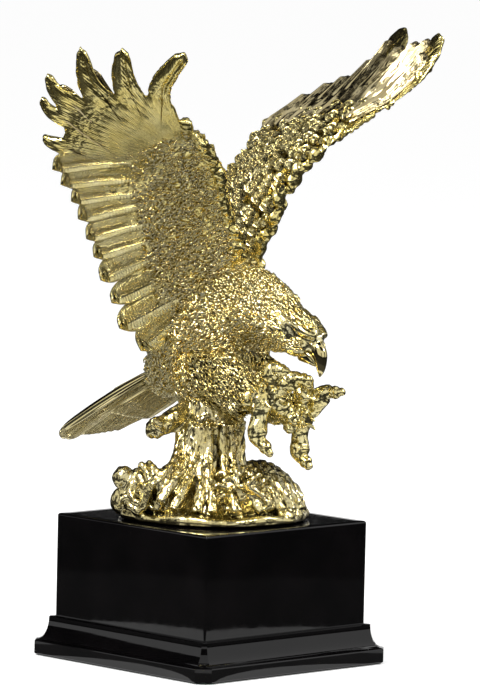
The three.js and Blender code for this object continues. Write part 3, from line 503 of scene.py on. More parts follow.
def feathers(place, quills, tips, width, thick, barbs, rng, steps=60, sides=32, bow=0, lift=0, face=1,
             tilt=0, curl=0, rib=0.5, rim=0.3, smooth_side=False, knob=0):
    """Large feathers between quills and tips on a wing or tail, as a skin and its grain.

    barbs is (angle to the shaft in degrees, pitch, depth). face is 1 where the feathers lie on the
    underside and -1 on the back. rib and rim are shares of the thickness. smooth_side weakens the
    barbs beside the shaft's rear. knob is the height of the rounded end.
    """
    quills, tips = np.asarray(quills, float), np.asarray(tips, float)
    count = len(quills)
    width, bow, lift, tilt, curl = (np.broadcast_to(np.asarray(v, float), count)[:, None, None]
                                    for v in (width, bow, lift, tilt, curl))
    length = np.linalg.norm(tips - quills, axis=1)[:, None, None]
    along = unit(tips - quills)
    across = np.stack([-along[:, 1], along[:, 0]], -1)
    t = (1 - np.linspace(1, 0, steps) ** 1.25)[None, :, None]
    turn = np.linspace(0, 2 * np.pi, sides, endpoint=False)[None, None, :]
    y = np.cos(turn)
    top = np.sign(np.round(np.sin(turn), 9))
    half = width / 2 * feather_outline(t, 0.6 * width / length)
    run = t * length
    left = length - run
    reach = np.abs(y) * half

    angle, pitch, deep = barbs
    phase = (run - reach / math.tan(math.radians(angle))) / pitch
    fade = barb_fade(y, reach, left, t)
    if smooth_side:
        fade = fade * np.where(y < 0, 1, 0.4)
    ragged = rng.uniform(-0.4, 0.4, (count, 1, 1)) + phase
    rise, lip = feather_section(y, half, left, thick, rib, rim, knob)
    height = top * rise + np.where(top * face > 0, top * lip, 0) + top * deep * fade * wave(ragged)
    height = height + lift + face * (tilt * y * half - CAMBER * (y * half) ** 2 / np.maximum(width, 1)
                                     + curl * ease((t - 0.5) / 0.5) * 4)
    sag = bow * 4 * t * (1 - t)
    flat = (quills[:, None, None, :] + along[:, None, None, :] * run[..., None]
            + across[:, None, None, :] * (sag + y * half)[..., None])
    points = np.concatenate([flat, height[..., None]], -1)
    grain = np.broadcast_to(2 * phase * fade + y * half / 2, height.shape)
    return loft(place(points)), loft_grain(grain)


def wing_flow(span):
    """Direction of the feathers in the plane of the wing, in radians from the bone."""
    table = SECONDARY_SHARES[::-1]
    angles = np.arctan2((table[:, 3] - table[:, 1]) * WING_CHORD, (table[:, 2] - table[:, 0]) * WING_REACH)
    return np.interp(span, np.append(table[:, 0], [0.6, 0.8]), np.append(angles, [0.35, 0]))


def edges(wing, span):
    """Leading and trailing edge of the skin, as shares of the chord."""
    return (np.interp(span, PANEL_SHARES[:, 0], PANEL_SHARES[:, wing["front"]]),
            np.interp(span, PANEL_SHARES[:, 0], PANEL_SHARES[:, wing["rear"]]))


def flat_place(span, chord):
    """Place in the plane of the wing, from shares of its reach and chord."""
    return np.stack([span * WING_REACH, chord * WING_CHORD], -1)


def half_thickness(span, share):
    """Half the thickness of the skin at a share of the way from leading to trailing edge."""
    thick = np.interp(span, [0, 0.4, 0.76], [10, 6, 2.6])
    body = np.interp(share, [0, 0.12, 0.5, 1], [0.7, 1, 0.55, 0.16])
    return thick / 2 * body * np.clip(4.6 * share * (1.02 - share), 0, 1) ** 0.5


def wing_skin(wing):
    """The bone and skin that carry the feathers, in wing coordinates."""
    turn = np.linspace(0, 2 * np.pi, 48, endpoint=False)
    share = (1 - np.cos(turn)) / 2
    rings = []
    for span in np.linspace(-0.05, 0.76, 60):
        front, rear = edges(wing, span)
        rings.append(np.stack([
            np.full(len(turn), span * WING_REACH),
            (front + (rear - front) * share) * WING_CHORD,
            np.sign(np.sin(turn)) * half_thickness(span, share),
        ], -1))
    return loft(np.array(rings))


def hand_blade(outline):
    """The smooth palm of the wing between the fingers, as rays from the wrist."""
    edge_points = smooth_line(outline, 90)
    share = np.concatenate([np.linspace(0, 1, 24), np.linspace(1, 0, 24)[1:-1]])
    face = np.concatenate([np.ones(24), -np.ones(22)])
    rise = face * (0.7 + 1.7 * (1 - share**2)) * np.where(share == 1, 0, 1)
    rings = []
    for point in edge_points:
        flat = np.array(WRIST) + (point - WRIST) * share[:, None]
        rings.append(np.concatenate([flat, rise[:, None]], -1))
    return loft(np.array(rings))


def finger(base, tip, halves, groove, curl):
    """A channelled feather end that leaves the hand, in wing coordinates."""
    steps, sides = 64, 48
    path = smooth_line([WRIST, base, tip], steps)
    run = np.concatenate([[0], np.cumsum(np.linalg.norm(np.diff(path, axis=0), axis=1))])
    left = run[-1] - run
    free = np.hypot(*(np.array(tip) - base))
    half = np.interp(left, [0, 0.12 * free, 0.5 * free, free, 2 * free + 12],
                     [0, halves[2], halves[1], halves[0], 4])
    half = half * np.sqrt(np.clip(1 - (np.clip(1 - left / 3.2, 0, 1)) ** 2, 0.003, 1))
    along = unit(np.gradient(path, axis=0))
    across = np.stack([-along[:, 1], along[:, 0]], -1)
    turn = np.linspace(0, 2 * np.pi, sides, endpoint=False)
    y, top = np.cos(turn), np.sign(np.round(np.sin(turn), 9))
    rings = []
    for k in range(steps):
        out = ease((free * 1.5 - left[k]) / free)
        thick = (0.9 + 1.9 * out) * min(1, 0.5 + left[k] / 8)
        channel = out * min(1, left[k] / 4) * 1.9 * np.exp(-(((y - groove) * half[k]) / 0.8) ** 2)
        height = top * (thick * (1 - y**2) ** 0.5 - channel * (top > 0)) + curl * ease(1 - left[k] / free)
        flat = path[k] + across[k] * (y * half[k])[:, None]
        rings.append(np.concatenate([flat, height[:, None]], -1))
    return loft(np.array(rings))


def lumps(path, size, spacing, rng):
    """Rounded marginal feathers along an edge, in wing coordinates."""
    path = np.array(path, float)
    reach = np.linalg.norm(np.diff(path, axis=0), axis=1).sum()
    for at in smooth_line(path, max(2, int(reach / spacing))):
        radius = size * rng.uniform(0.75, 1.25)
        middle = at + rng.normal(0, 0.25, 2) * size
        turn = rng.uniform(-0.5, 0.5)
        height = rng.normal(0, 0.3) * size
        points, quads, tris = ball(0, 0, height, radius * 1.15, radius * 0.8, radius, 10)
        c, s = math.cos(turn), math.sin(turn)
        flat = points[:, :2] @ np.array([[c, s], [-s, c]]) + middle
        yield np.concatenate([flat, points[:, 2:]], -1), quads, tris


def scale_row(wing, span_range, row_share, length, width, rng):
    """Quills and tips of a row of coverts, at a share of the way from leading to trailing edge."""
    low, high = span_range
    count = max(2, int((high - low) * WING_REACH / (width * 0.7)))
    spans = np.linspace(low, high, count) + rng.uniform(-0.2, 0.2, count) * width / WING_REACH
    front, rear = edges(wing, spans)
    chords = front + (rear - front) * row_share + rng.uniform(-0.15, 0.15, count) * width / WING_CHORD
    angles = wing_flow(spans) + rng.uniform(-0.25, 0.25, count)
    quills = flat_place(spans, chords)
    lengths = length * rng.uniform(0.85, 1.15, count)
    tips = quills + lengths[:, None] * np.stack([np.cos(angles), np.sin(angles)], -1)
    return quills, tips


def surface_lift(wing, quills, face):
    """Height of the wing skin's face under the quills."""
    spans = quills[:, 0] / WING_REACH
    front, rear = edges(wing, spans)
    share = (quills[:, 1] / WING_CHORD - front) / (rear - front)
    return face * (half_thickness(spans, np.clip(share, 0, 1)) + 0.4)


def wing_tufts(wing, place, span_range, reach_shares, spacing, width, face, rng):
    """Small crinkled feathers over a stretch of one face of the wing."""
    low, high = span_range
    area = (high - low) * WING_REACH * np.mean([far for _, far in reach_shares]) * WING_CHORD * 1.2
    count = int(area / spacing**2)
    spans = rng.uniform(low, high, count)
    shares = rng.uniform(0.02, 1, count) * np.interp(spans, *zip(*reach_shares))
    front, rear = edges(wing, spans)
    quills = flat_place(spans, front + (rear - front) * shares)
    angles = wing_flow(spans) + rng.normal(0, 0.45, count)
    heights = surface_lift(wing, quills, face) - face * 0.3
    spots = np.concatenate([quills, heights[:, None]], -1)
    step = np.stack([np.cos(angles), np.sin(angles), np.zeros(count)], -1)
    at = place(spots)
    flows = unit(place(spots + step) - at)
    normals = unit(place(spots + np.array([0, 0, face])) - at)
    flows = unit(flows - normals * (flows * normals).sum(-1, keepdims=True))
    sizes = rng.uniform(0.7, 1.3, count)
    return tufts(at, normals, flows, DOWN_LENGTH * sizes, width * sizes, rng, bend=0.5)


def hand_relief(points):
    """Height of the fine forms on a wing's skin, and the turn of its rays round the wrist."""
    away = points[:, :2] - WRIST
    turn = np.arctan2(away[:, 1], away[:, 0])
    reach = np.hypot(*away.T)
    hand = ease((reach - 14) / 14) * ease((points[:, 0] - 76) / 14)
    swirl = turn * 38 + 3 * np.sin(away[:, 0] / 13) + 0.6 * rough(points, 14)
    lines = 0.09 * np.sin(turn * 95 + 2 * np.sin(away[:, 0] / 9))
    rays = hand * (lines - 0.34 * np.exp(-(np.sin(swirl) / 0.3) ** 2))
    speckle = 0.3 * hand * np.exp(-((reach - 62) / 7) ** 2) * rough(points, 1.6)
    swells = 0.4 * hand * rough(points, 7, 1)
    return rays + ((1 - hand) * 0.45 * rough(points, 2.6) + speckle + swells), turn * 60 * hand


def wing_base(wing, place, rng):
    """Arm, hand and fingers fused into one skin, with fine rays from the wrist over the hand."""
    flat = Form()
    flat.add(wing_skin(wing))
    flat.add(hand_blade(wing["hand"]))
    for ends, groove, curl in zip(wing["fingers"], FINGER_GROOVE_SHARES, wing["finger_curls"]):
        flat.add(finger(*ends, groove, curl))
    arm = [(span * WING_REACH, edges(wing, span)[0] * WING_CHORD + LUMP_INSET)
           for span in np.linspace(-0.02, 0.5, 14)]
    rim = (wing["rim"], wing["rim_size"], RIM_SPACING)
    for path, size, spacing in ((arm, LUMP_SIZE, LUMP_SPACING), rim):
        for skin in lumps(path, size, spacing, rng):
            flat.add(skin)
    points, quads, tris = fuse(flat, WING_VOXEL, 2)
    relief, grain = hand_relief(points)
    points = points + normals_of(points, quads) * relief[:, None]
    form = Form()
    form.add((place(points), quads, tris), grain)
    return form


def secondaries(wing, place, rng):
    """The long feathers of the arm, whose rounded ends make the wing's rear edge."""
    quills, tips = flat_place(*SECONDARY_SHARES[:, :2].T), flat_place(*SECONDARY_SHARES[:, 2:].T)
    return feathers(
        place, quills, tips, SECONDARY_WIDTHS, SECONDARY_THICK, SECONDARY_BARBS, rng, steps=150, sides=44,
        bow=-1, lift=wing["secondary_lift"], tilt=0.05, curl=0.3, rib=-0.35, rim=0.06, smooth_side=True,
        knob=2.6)


def primaries(wing, place, rng):
    """The long feathers on the back of the hand."""
    table = np.array(wing["primaries"], float)
    return feathers(
        place, table[:, :2], table[:, 2:4], table[:, 4], PRIMARY_THICK, PRIMARY_BARBS, rng, steps=110,
        sides=44, lift=wing["primary_lift"], face=-1, rib=0.9, rim=0.25, curl=0.1,
        tilt=wing["primary_tilt"])


def add_scales(form, wing, place, rng):
    """Rows of coverts on the back of the arm, each row over the one behind it."""
    for level, (share, length, width) in enumerate(SCALE_ROWS):
        quills, tips = scale_row(wing, (0.0, 0.56), share, length, width, rng)
        lift = surface_lift(wing, quills, -1) - 0.6 - 0.3 * level
        form.add(*feathers(
            place, quills, tips, width, SCALE_THICK, SCALE_BARBS, rng, steps=26, sides=28, face=-1,
            lift=lift, curl=0.5, tilt=0.05, rib=0.2, rim=0.6))


def make_wing(wing):
    rng = np.random.default_rng(wing["seed"])
    place = wing_frame(wing)
    name = wing["name"]
    make_piece(wing_base(wing, place, rng), f"{name}_hand", gold_satin, replaced=[wing["node"]])
    arm, hand, down = Form(), Form(), Form()
    arm.add(*secondaries(wing, place, rng))
    hand.add(*primaries(wing, place, rng))
    # The primaries take the darker gold, which is painted shade
    make_piece(hand, f"{name}_primaries", gold_painted_shade, sharp=50)
    add_scales(arm, wing, place, rng)
    make_piece(arm, f"{name}_feathers", gold_rich, sharp=50)
    down.add(*wing_tufts(wing, place, (-0.06, 0.56), DOWN_SHARES, 1.7, 1.6, 1, rng))
    down.add(*wing_tufts(wing, place, (0.0, 0.5), BACK_DOWN_SHARES, 1.9, 2, -1, rng))
    make_piece(down, f"{name}_down", gold_pale)


# Body and head

# Stations from rump to brow: forward, up, half width and half depth
TORSO_SHARES = np.array([
    [0, 0.17, 0.27, 0.19], [0.06, 0.25, 0.54, 0.39], [0.17, 0.43, 0.81, 0.71], [0.29, 0.65, 1, 0.97],
    [0.415, 0.83, 1, 0.98], [0.52, 0.97, 0.85, 0.72], [0.63, 0.98, 0.65, 0.52], [0.74, 0.88, 0.54, 0.435],
    [0.83, 0.79, 0.44, 0.37], [0.91, 0.725, 0.3, 0.27], [0.95, 0.69, 0.2, 0.18],
])


# The ball of the belly: side, ahead and up, then its half sizes
BELLY = (0, 1, 156, 20, 26, 25)
BODY_VOXEL = 0.9
TUFT_SPACING = 1.6
THIGH_GUIDE_REACH = 0.62
BEAK_SWELL = 0.25
# Where the head, the beak, the face and the legs begin, front to back, and where the tufts end
HEAD_BACK = -56
BEAK_BACK = -76
FACE_BACK = -66
LEG_BACK = -4
TUFTS_FRONT = -79
# Heights that bound them, and how far off the middle the face begins
BEAK_TOP = 183.5
FACE_LOW = 182
FACE_HIGH = 189
FACE_SIDE = 4
CHIN_TOP = 176.5
CROWN_LOW = 185
LEG_TOP = 172


def torso():
    """The skin of the trunk and neck, and the middles of its rings."""
    steps = 60
    rows = smooth_line(TORSO_SHARES * [BODY_LENGTH, BODY_RISE, BODY_HALF_WIDTH, BODY_HALF_DEPTH], steps)
    middles = np.stack([np.zeros(steps), RUMP_BACK - rows[:, 0], SEAT_UP + rows[:, 1]], -1)
    along = unit(np.gradient(middles, axis=0))
    third = np.cross(along, [1.0, 0, 0])
    turn = np.linspace(0, 2 * np.pi, 48, endpoint=False)
    rings = (middles[:, None]
             + (rows[:, 2, None] * np.cos(turn))[..., None] * np.array([1.0, 0, 0])
             + (rows[:, 3, None] * np.sin(turn))[..., None] * third[:, None])
    return loft(rings), middles


def thigh_rows(side, ankle_up):
    """A thigh from the hip to the ankle, as side, forward, up and radius."""
    hip_up = 163
    return [(side * 10, -2, hip_up, 16), (side * 11.5, 14, (hip_up + ankle_up) / 2 + 6, 15.5),
            (side * 13.5, 28, ankle_up + 7, 12), (side * LEG_SIDE, LEG_REACH, ankle_up, 8.8)]


def add_head(form):
    form.add(limb([(0, 47, 190, 15), (0, 60, 186.6, 12), (0, 70, 183, 9.4), (0, 77, 180.6, 6.6),
                   (0, 81, 180.6, 4.2)], 32, 30, squash=0.84))
    form.add(limb([(0, 69, 177.6, 5.6), (0, 60, 180, 7), (0, 48, 185, 9)], 24, 20))
    for side in (-1, 1):
        brow = [(side * 4.6, 57, 196.6, 1.6), (side * 7, 67, 191.4, 2.4), (side * 6.8, 75, 187.2, 2.3),
                (side * 3.6, 81.4, 184.6, 1.8)]
        form.add(limb(brow, 16, 24))
        cheek = ball(side * 6, 68, 178.4, 4.4, 8.4, 5.4)
        eye = ball(side * 6.4, 72.6, 184.4, 1.3, 2.4, 1.6)
        form.add(cheek)
        form.add(eye)


def add_beak(form, swell):
    """Hooked upper beak and the lower one."""
    upper = [(0, 72, 179.4, 5.2 + swell), (0, 77.6, 178.4, 4.7 + swell), (0, 81, 175.4, 4.3 + swell),
             (0, 82.2, 171, 3.4 + swell), (0, 82.3, 166.4, 2.1 + swell), (0, 81.6, 162.8, 0.5)]
    lower = [(0, 69, 174, 4 + swell), (0, 74.6, 172, 3 + swell), (0, 78.4, 169.8, 1.8 + swell),
             (0, 80.2, 168.4, 0.6)]
    form.add(limb(upper, 40, 64, squash=0.82))
    form.add(limb(lower, 28, 40, squash=1.1))


def make_beak():
    """Smooth horn over the cast skin, with its gape and nostrils raised on it."""
    form = Form()
    add_beak(form, BEAK_SWELL)
    for side in (-1, 1):
        gape = [(side * 5.2, 66, 176.6, 0.8), (side * 4.7, 74, 175.6, 1), (side * 3.9, 78.6, 173.4, 0.9),
                (side * 3.1, 80.2, 170.6, 0.6)]
        nostril = [(side * 4, 75.4, 182.4, 0.7), (side * 4.2, 79.4, 180.2, 1), (side * 3.6, 81, 177.6, 0.7)]
        form.add(limb(gape, 14, 40))
        form.add(limb(nostril, 14, 30))
    # The beak takes the darker gold, which is painted shade
    make_piece(form, "eagle_beak", gold_smooth_shaded)


def flow_field(points, guides):
    """Direction of the nearest guide line at each point."""
    best = np.full(len(points), np.inf)
    flow = np.zeros_like(points)
    for line, reach in guides:
        steps = unit(np.gradient(line, axis=0))
        far = np.linalg.norm(points[:, None] - line[None], axis=-1) / reach
        nearest = far.argmin(axis=1)
        closest = far[np.arange(len(points)), nearest]
        better = closest < best
        best[better] = closest[better]
        flow[better] = steps[nearest[better]]
    return flow


def body_skin():
    """One skin of the trunk, neck, head, beak and thighs, and the lines that its feathers follow."""
    form = Form()
    trunk_skin, middles = torso()
    form.add(trunk_skin)
    form.add(ball(*BELLY))
    guides = [(middles[::-1], 1.0)]
    for side, ankle_up in ((-1, RIGHT_ANKLE_UP), (1, LEFT_ANKLE_UP)):
        rows = thigh_rows(side, ankle_up)
        form.add(limb(rows, 28, 40))
        guides.append((smooth_line(forward(rows), 30)[:, :3], THIGH_GUIDE_REACH))
    add_head(form)
    add_beak(form, 0)
    return fuse(form, BODY_VOXEL, 3), guides


def horn(points):
    """Where the skin is beak or face, which stay smooth."""
    across, back, up = np.abs(points[:, 0]), points[:, 1], points[:, 2]
    beak = (back < BEAK_BACK) & (up < BEAK_TOP)
    face = (back < FACE_BACK) & (across > FACE_SIDE) & (up > FACE_LOW) & (up < FACE_HIGH)
    return beak | face


def make_plumage(points, normals, smooth, guides):
    """Tufts on all of the skin but the horn, the chin and what the stump and beak cover."""
    rng = np.random.default_rng(21)
    chin = (points[:, 1] < HEAD_BACK) & (points[:, 2] < CHIN_TOP)
    covered = (points[:, 2] <= SEAT_UP - 2) | (points[:, 1] <= TUFTS_FRONT)
    free = np.flatnonzero(~(smooth | chin | covered))
    chosen = free[thin_out(points[free], TUFT_SPACING, rng)]
    at, out = points[chosen], normals[chosen]
    flow = flow_field(at, guides)
    head = at[:, 1] < HEAD_BACK
    leg = (at[:, 2] < LEG_TOP) & (at[:, 1] < LEG_BACK) & ~head
    spin = np.where(head, 0.1, np.where(leg, 0.3, 0.5)) * rng.normal(0, 1, len(at))
    flow = unit(flow - out * (flow * out).sum(-1, keepdims=True))
    side = np.cross(out, flow)
    flow = flow * np.cos(spin)[:, None] + side * np.sin(spin)[:, None]
    crown = head & (at[:, 2] > CROWN_LOW)
    lengths = np.where(crown, 8.5, np.where(leg, 6.5, 4.2)) * rng.uniform(0.7, 1.3, len(at))
    widths = np.where(crown, 1.2, np.where(leg, 1.3, 1.9)) * rng.uniform(0.75, 1.25, len(at))
    rump = ~head & ~leg & (at[:, 1] > 0)
    breast = ~head & ~leg & ~rump
    for name, group, rise, bend, material in (
            ("crown", head, 0.1, 0.08, gold_pale), ("thighs", leg, 0.2, 0.25, gold_rich),
            ("rump", rump, 0.3, 0.45, gold_pale), ("breast", breast, 0.3, 0.45, gold_pale)):
        plumage = Form()
        plumage.add(*tufts(at[group], out[group], flow[group], lengths[group], widths[group], rng, rise,
                           bend))
        make_piece(plumage, f"eagle_{name}", material)


def make_body():
    (points, quads, tris), guides = body_skin()
    normals = normals_of(points, quads)
    smooth = horn(points)
    depth = np.where(smooth, 0.03, 0.5) * rough(points, 3.2)
    points = points + normals * depth[:, None]
    skin = Form()
    skin.add((points, quads, tris))
    make_piece(skin, "eagle_skin", gold_pale, replaced=["eagle_body"])
    make_beak()
    make_plumage(points, normals, smooth, guides)


# Feet

# Toes of each foot: three places after the palm (side, forward, up)
RIGHT_TOES = [
    [(-1.6, -0.6, -10.6), (-3.2, 0, -20.5), (-0.6, 7.7, -30)],
    [(1, 3.2, 8), (1.9, 5.8, 16), (5.8, 13.4, 15.4)],
    [(5.1, 6.4, 5.1), (9, 14, 10.9), (13.4, 23, 11.5)],
    [(6.4, 2.6, -3.2), (11.5, 6.4, -7), (13.4, 11.5, -13.4)],
]
LEFT_TOES = [
    [(0, -0.6, -11.5), (-1, 1.3, -19.8), (0, 7.7, -26.9)],
    [(3.8, 3.8, 3.8), (7, 10.2, 13.4), (12.2, 19.8, 15)],
    [(1.3, 0, 7), (0, 1.3, 14), (0, 7, 21)],
    [(-5.1, 0.6, -0.6), (-10.2, 1.9, -1.3), (-14, 5.8, -6.4)],
]
SHANK = 14
PALM = (7.6, 6.6, 8.4)
PALM_FOLDS = 30
FOOT_VOXEL = 0.5
# Places from a toe's last joint to the claw's tip, and the radius there
CLAW_SHARES = [(0.5, 3.6), (0.75, 3), (1, 2), (1.1, 0.8)]


def knuckles(count):
    """Swollen joints with two rows of scutes."""
    def ripple(share, turn):
        joint = 0.13 * math.cos(2 * math.pi * count * share)
        plates = 0.07 * math.cos(2 * math.pi * 2.5 * count * share) * np.cos(2 * turn)
        fade = min(1, (1 - share) * 5)
        return 1 + (joint + plates) * fade
    return ripple


def make_foot(name, node, side, ankle_up, palm_up, toes, seed):
    rng = np.random.default_rng(seed)
    form = Form()
    ankle = np.array([side * LEG_SIDE, LEG_REACH - 4, ankle_up])
    palm = np.array([side * LEG_SIDE, LEG_REACH + SHANK, palm_up])
    form.add(limb([(*ankle, 6.4), (*((ankle + palm) / 2), 6), (*palm, 6.6)], 24, 30, knuckles(2)))
    form.add(ball(*palm, *PALM))
    crumple(form, palm + [-2.5, 2.5, 0], 6, PALM_FOLDS, rng)
    for toe in toes:
        first, second, tip = (palm + np.array(step) for step in toe)
        turn = tip - second
        claw = [(*(second + turn * share), radius) for share, radius in CLAW_SHARES]
        rows = [(*palm, 5.4), (*first, 5.2), (*second, 4.7), *claw]
        form.add(limb(rows, 24, 54, knuckles(3.4)))
        form.add(ball(*(first - turn * 0.1), 3.6, 3.6, 3.6, 10))
    points, quads, tris = fuse(form, FOOT_VOXEL, 2)
    points = points + normals_of(points, quads) * (0.22 * rough(points, 2.4))[:, None]
    skin = Form()
    skin.add((points, quads, tris))
    make_piece(skin, name, gold_rich, replaced=[node])


# Tail

def tail_place(points):
    """Turns (down the tail, across the fan, out of its upper face) into places."""
    along, across, above = points[..., 0], points[..., 1], points[..., 2]
    droop = math.radians(TAIL_DROOP)
    bank = np.radians(TAIL_BANK) * (1 - np.clip(along / TAIL_LENGTH, 0, 1))
    down = np.array([0, math.cos(droop), -math.sin(droop)])
    level = np.array([1.0, 0, 0])
    rise = np.cross(down, level)
    side = np.cos(bank)[..., None] * level + np.sin(bank)[..., None] * rise
    face = np.cross(down, side)
    root = np.array([0, TAIL_ROOT_BACK, TAIL_ROOT_UP])
    return root + along[..., None] * down + across[..., None] * side + above[..., None] * face


# Rolled ridges down the near edge: down the tail, off its middle, above its face, and radius
TAIL_RIDGES = [
    [(2, 11.5, 1.6, 1.6), (26, 14.2, 2.2, 2.6), (50, 16.6, 2, 2.6), (66, 17.6, 1.2, 2), (75, 16, 0, 0.8)],
    [(2, 5.5, 2.6, 1.2), (26, 7.4, 3, 1.8), (50, 9.6, 2.4, 1.8), (68, 11, 1.4, 1.4), (77, 10, 0, 0.6)],
]
# Barbs: angle to the shaft in degrees, pitch and depth
TAIL_BARBS = (22, 1.3, 0.05)
TAIL_COVERT_BARBS = (35, 1.3, 0.14)


def make_tail():
    rng = np.random.default_rng(31)
    form = Form()
    share = np.linspace(-1, 1, 9)
    quills = np.stack([np.full(len(share), -6.0), share * TAIL_HALF_WIDTH * 0.55], -1)
    tips = np.stack([TAIL_LENGTH * (1 - 0.05 * share**2 - 0.13 * ease(share + 1)),
                     share * TAIL_HALF_WIDTH * 0.88], -1)
    form.add(*feathers(tail_place, quills, tips, 10.5, 2.6, TAIL_BARBS, rng, steps=110, sides=36,
                       lift=2.0 * (1 - np.abs(share)) + 1.6 * (share < -0.7),
                       tilt=-0.2 * np.sign(share + 0.01), curl=0.25, rib=0.5))
    form.add(*feathers(tail_place, quills * 0.9, tips * [0.55, 0.8], 9, 2.4, TAIL_COVERT_BARBS, rng,
                       steps=60, sides=28, lift=3.2 * (1 - 0.5 * np.abs(share)), curl=0.2))
    form.add(*feathers(tail_place, quills * 0.9, tips * [0.42, 0.7], 8, 2.2, TAIL_COVERT_BARBS, rng,
                       steps=50, sides=28, lift=-1.6, curl=-0.2))
    for rows in TAIL_RIDGES:
        points, quads, tris = limb(rows, 20, 60)
        form.add((tail_place(points), quads, tris))
    # The tail takes the darker gold, which is painted shade
    make_piece(form, "tail_feathers", gold_smooth_shaded, replaced=["tail_fan"], sharp=50)


# Tree stump

PLATE_RADIUS = 52
PLATE_THICK = 5.5
PLATE_RIM_SHARES = [
    (0.95, 0), (0.985, 0.12), (1, 0.45), (0.99, 0.8), (0.965, 1), (0.93, 0.98), (0.9, 0.75), (0.4, 0.8),
]
PLATE_BULGE = (6.2, 6.2, 4.4)
PLATE_BULGE_TURNS = (-76, -62, -49)
STUMP_VOXEL = 0.62

# The trunk as side, forward, height over the box and radius
TRUNK = [
    (-4, 4, 1, 36), (-4, 4, 6, 28), (-5, 4, 12, 20), (-6, 3, 24, 15.5), (-5.6, 2, 45, 15.5),
    (-3, 1, 59, 16), (-2, 0, 66, 14),
]
# Its broken branch and a vine up its front, as side, forward, up and radius
BRANCH = [
    (-8, -2, 140, 6.4), (-17, -5, 137, 6.4), (-25, -4.6, 133.6, 6), (-32, -5.6, 130, 5.4),
    (-38, -7, 128.4, 5.6), (-40.6, -7.6, 127.6, 4.4),
]
BRANCH_END = (-40, -7.4, 128, 3.4, 3.4, 4.6, 10)
VINE = [(4, 13.5, 136, 4.2), (3.8, 14.6, 124, 3.8), (3, 16.6, 111, 4.2), (1.4, 19.6, 98, 5.4)]
# Round masses of the burl and the mound: side, ahead, up and half sizes
BURL_BALLS = [
    (-44, -12, 93, 9, 9.5, 14), (-50, -18, 101.5, 6, 6, 6.4), (-46, -22, 88, 7, 7, 8),
    (-32, 1, 88, 13, 11, 12),
]
MOUND_BALLS = [(-7.3, 30, 92, 9, 8, 12), (19, 22, 84, 17.5, 18, 18)]
# Crumpled leaves: middle, size and count
CRUMPLES = [
    ((-42, -4, 95), 11, 20), ((-7.3, 32, 95), 12, 60), ((-13, 11, 133), 8, 26), ((2, 14, 133), 8, 18),
]
# Roots on the far side: share of the way, distance from the trunk's middle, height and radius
FAR_ROOTS = 22
FAR_ROOT_DOWN_SHARES = [(0, 13, 58, 2.8), (0.25, 13.6, 44, 2.6), (0.45, 15, 30, 2.8), (0.65, 21, 17, 3.2)]
FAR_ROOT_OUT_SHARES = [(0.85, 31, 8, 3.2), (1, 43, 3, 2.2)]
NEAR_SIDE_DEGREES = (170, 262)

# Roots on the near side: places down the trunk and over the ground, as side, forward, up and radius
ROOTS = [
    [(-21, -2, 132, 3.2), (-23, -0.5, 126.5, 3.2), (-27, 1.4, 117, 3.4), (-33.3, 4.3, 110, 3.4),
     (-42, 5.4, 105, 3.4), (-50, 4, 99, 2.6)],
    [(-21.5, 4, 132, 2.8), (-22.6, 5.3, 124.7, 2.9), (-25.8, 7.2, 114.8, 3), (-33.2, 9.9, 106.8, 3.2),
     (-42, 11, 99.5, 3.2), (-49, 11, 91, 2.6)],
    [(-20.8, 7.8, 130, 2.4), (-23.7, 10.6, 115, 2.6), (-30.3, 14, 104.8, 3), (-38, 16.2, 96.5, 3.2),
     (-45, 17, 87, 2.8)],
    [(-19, 10.8, 131, 2.2), (-20.6, 13.6, 115, 2.3), (-25.6, 18.5, 103, 2.6), (-31.7, 23.7, 94.5, 3),
     (-37.5, 27.8, 86, 2.6)],
    [(-16, 13.4, 132, 2.3), (-17.6, 15, 118, 2.3), (-21.5, 19.6, 104.8, 2.6), (-26, 26.3, 94.5, 3),
     (-30, 32.3, 86, 2.6)],
    [(-9.9, 16.8, 132, 2.4), (-10.7, 18.8, 116.6, 2.5), (-13.4, 24.5, 105.3, 2.7), (-16.1, 31.6, 95.4, 3),
     (-18, 39.4, 86, 2.6)],
    [(-4.7, 17.6, 131, 2.3), (-5.1, 20, 116.4, 2.5), (-6, 26, 107.2, 2.8), (-6.7, 35, 97.3, 3),
     (-5, 44.7, 86, 2.6)],
]
# Ridges of the mound beside the trunk, from its crest down to the ground plate
MOUND_RIDGES = [
    [(8, 12, 103, 3.4), (9, 18, 105.5, 4), (6, 27.7, 101, 3.8), (3, 37, 94, 3.2), (2.3, 44, 86, 2.6)],
    [(12, 12, 104, 3.4), (13, 18, 106.5, 4), (10.5, 29.3, 102, 3.8), (8.4, 39, 94.5, 3.2),
     (8.7, 46, 86, 2.6)],
    [(17, 13, 104, 3.4), (17.5, 19, 106.5, 4), (15, 30.8, 102, 3.8), (14.7, 40, 94.5, 3.4),
     (16, 46.5, 86, 2.6)],
    [(22, 14, 103, 3.4), (22, 20, 105, 4), (21, 31, 100.5, 3.8), (22, 38.5, 94, 3.6), (23.4, 44, 85, 3)],
    [(27, 12, 100, 3.4), (27, 20, 102.4, 4), (27.5, 28.5, 98.5, 4), (29.4, 35, 92.5, 4), (30, 39, 84, 3.4)],
    [(31, 8, 94, 3.6), (33, 14, 97, 4), (34, 22, 93, 4), (35, 28, 87, 3.6)],
]
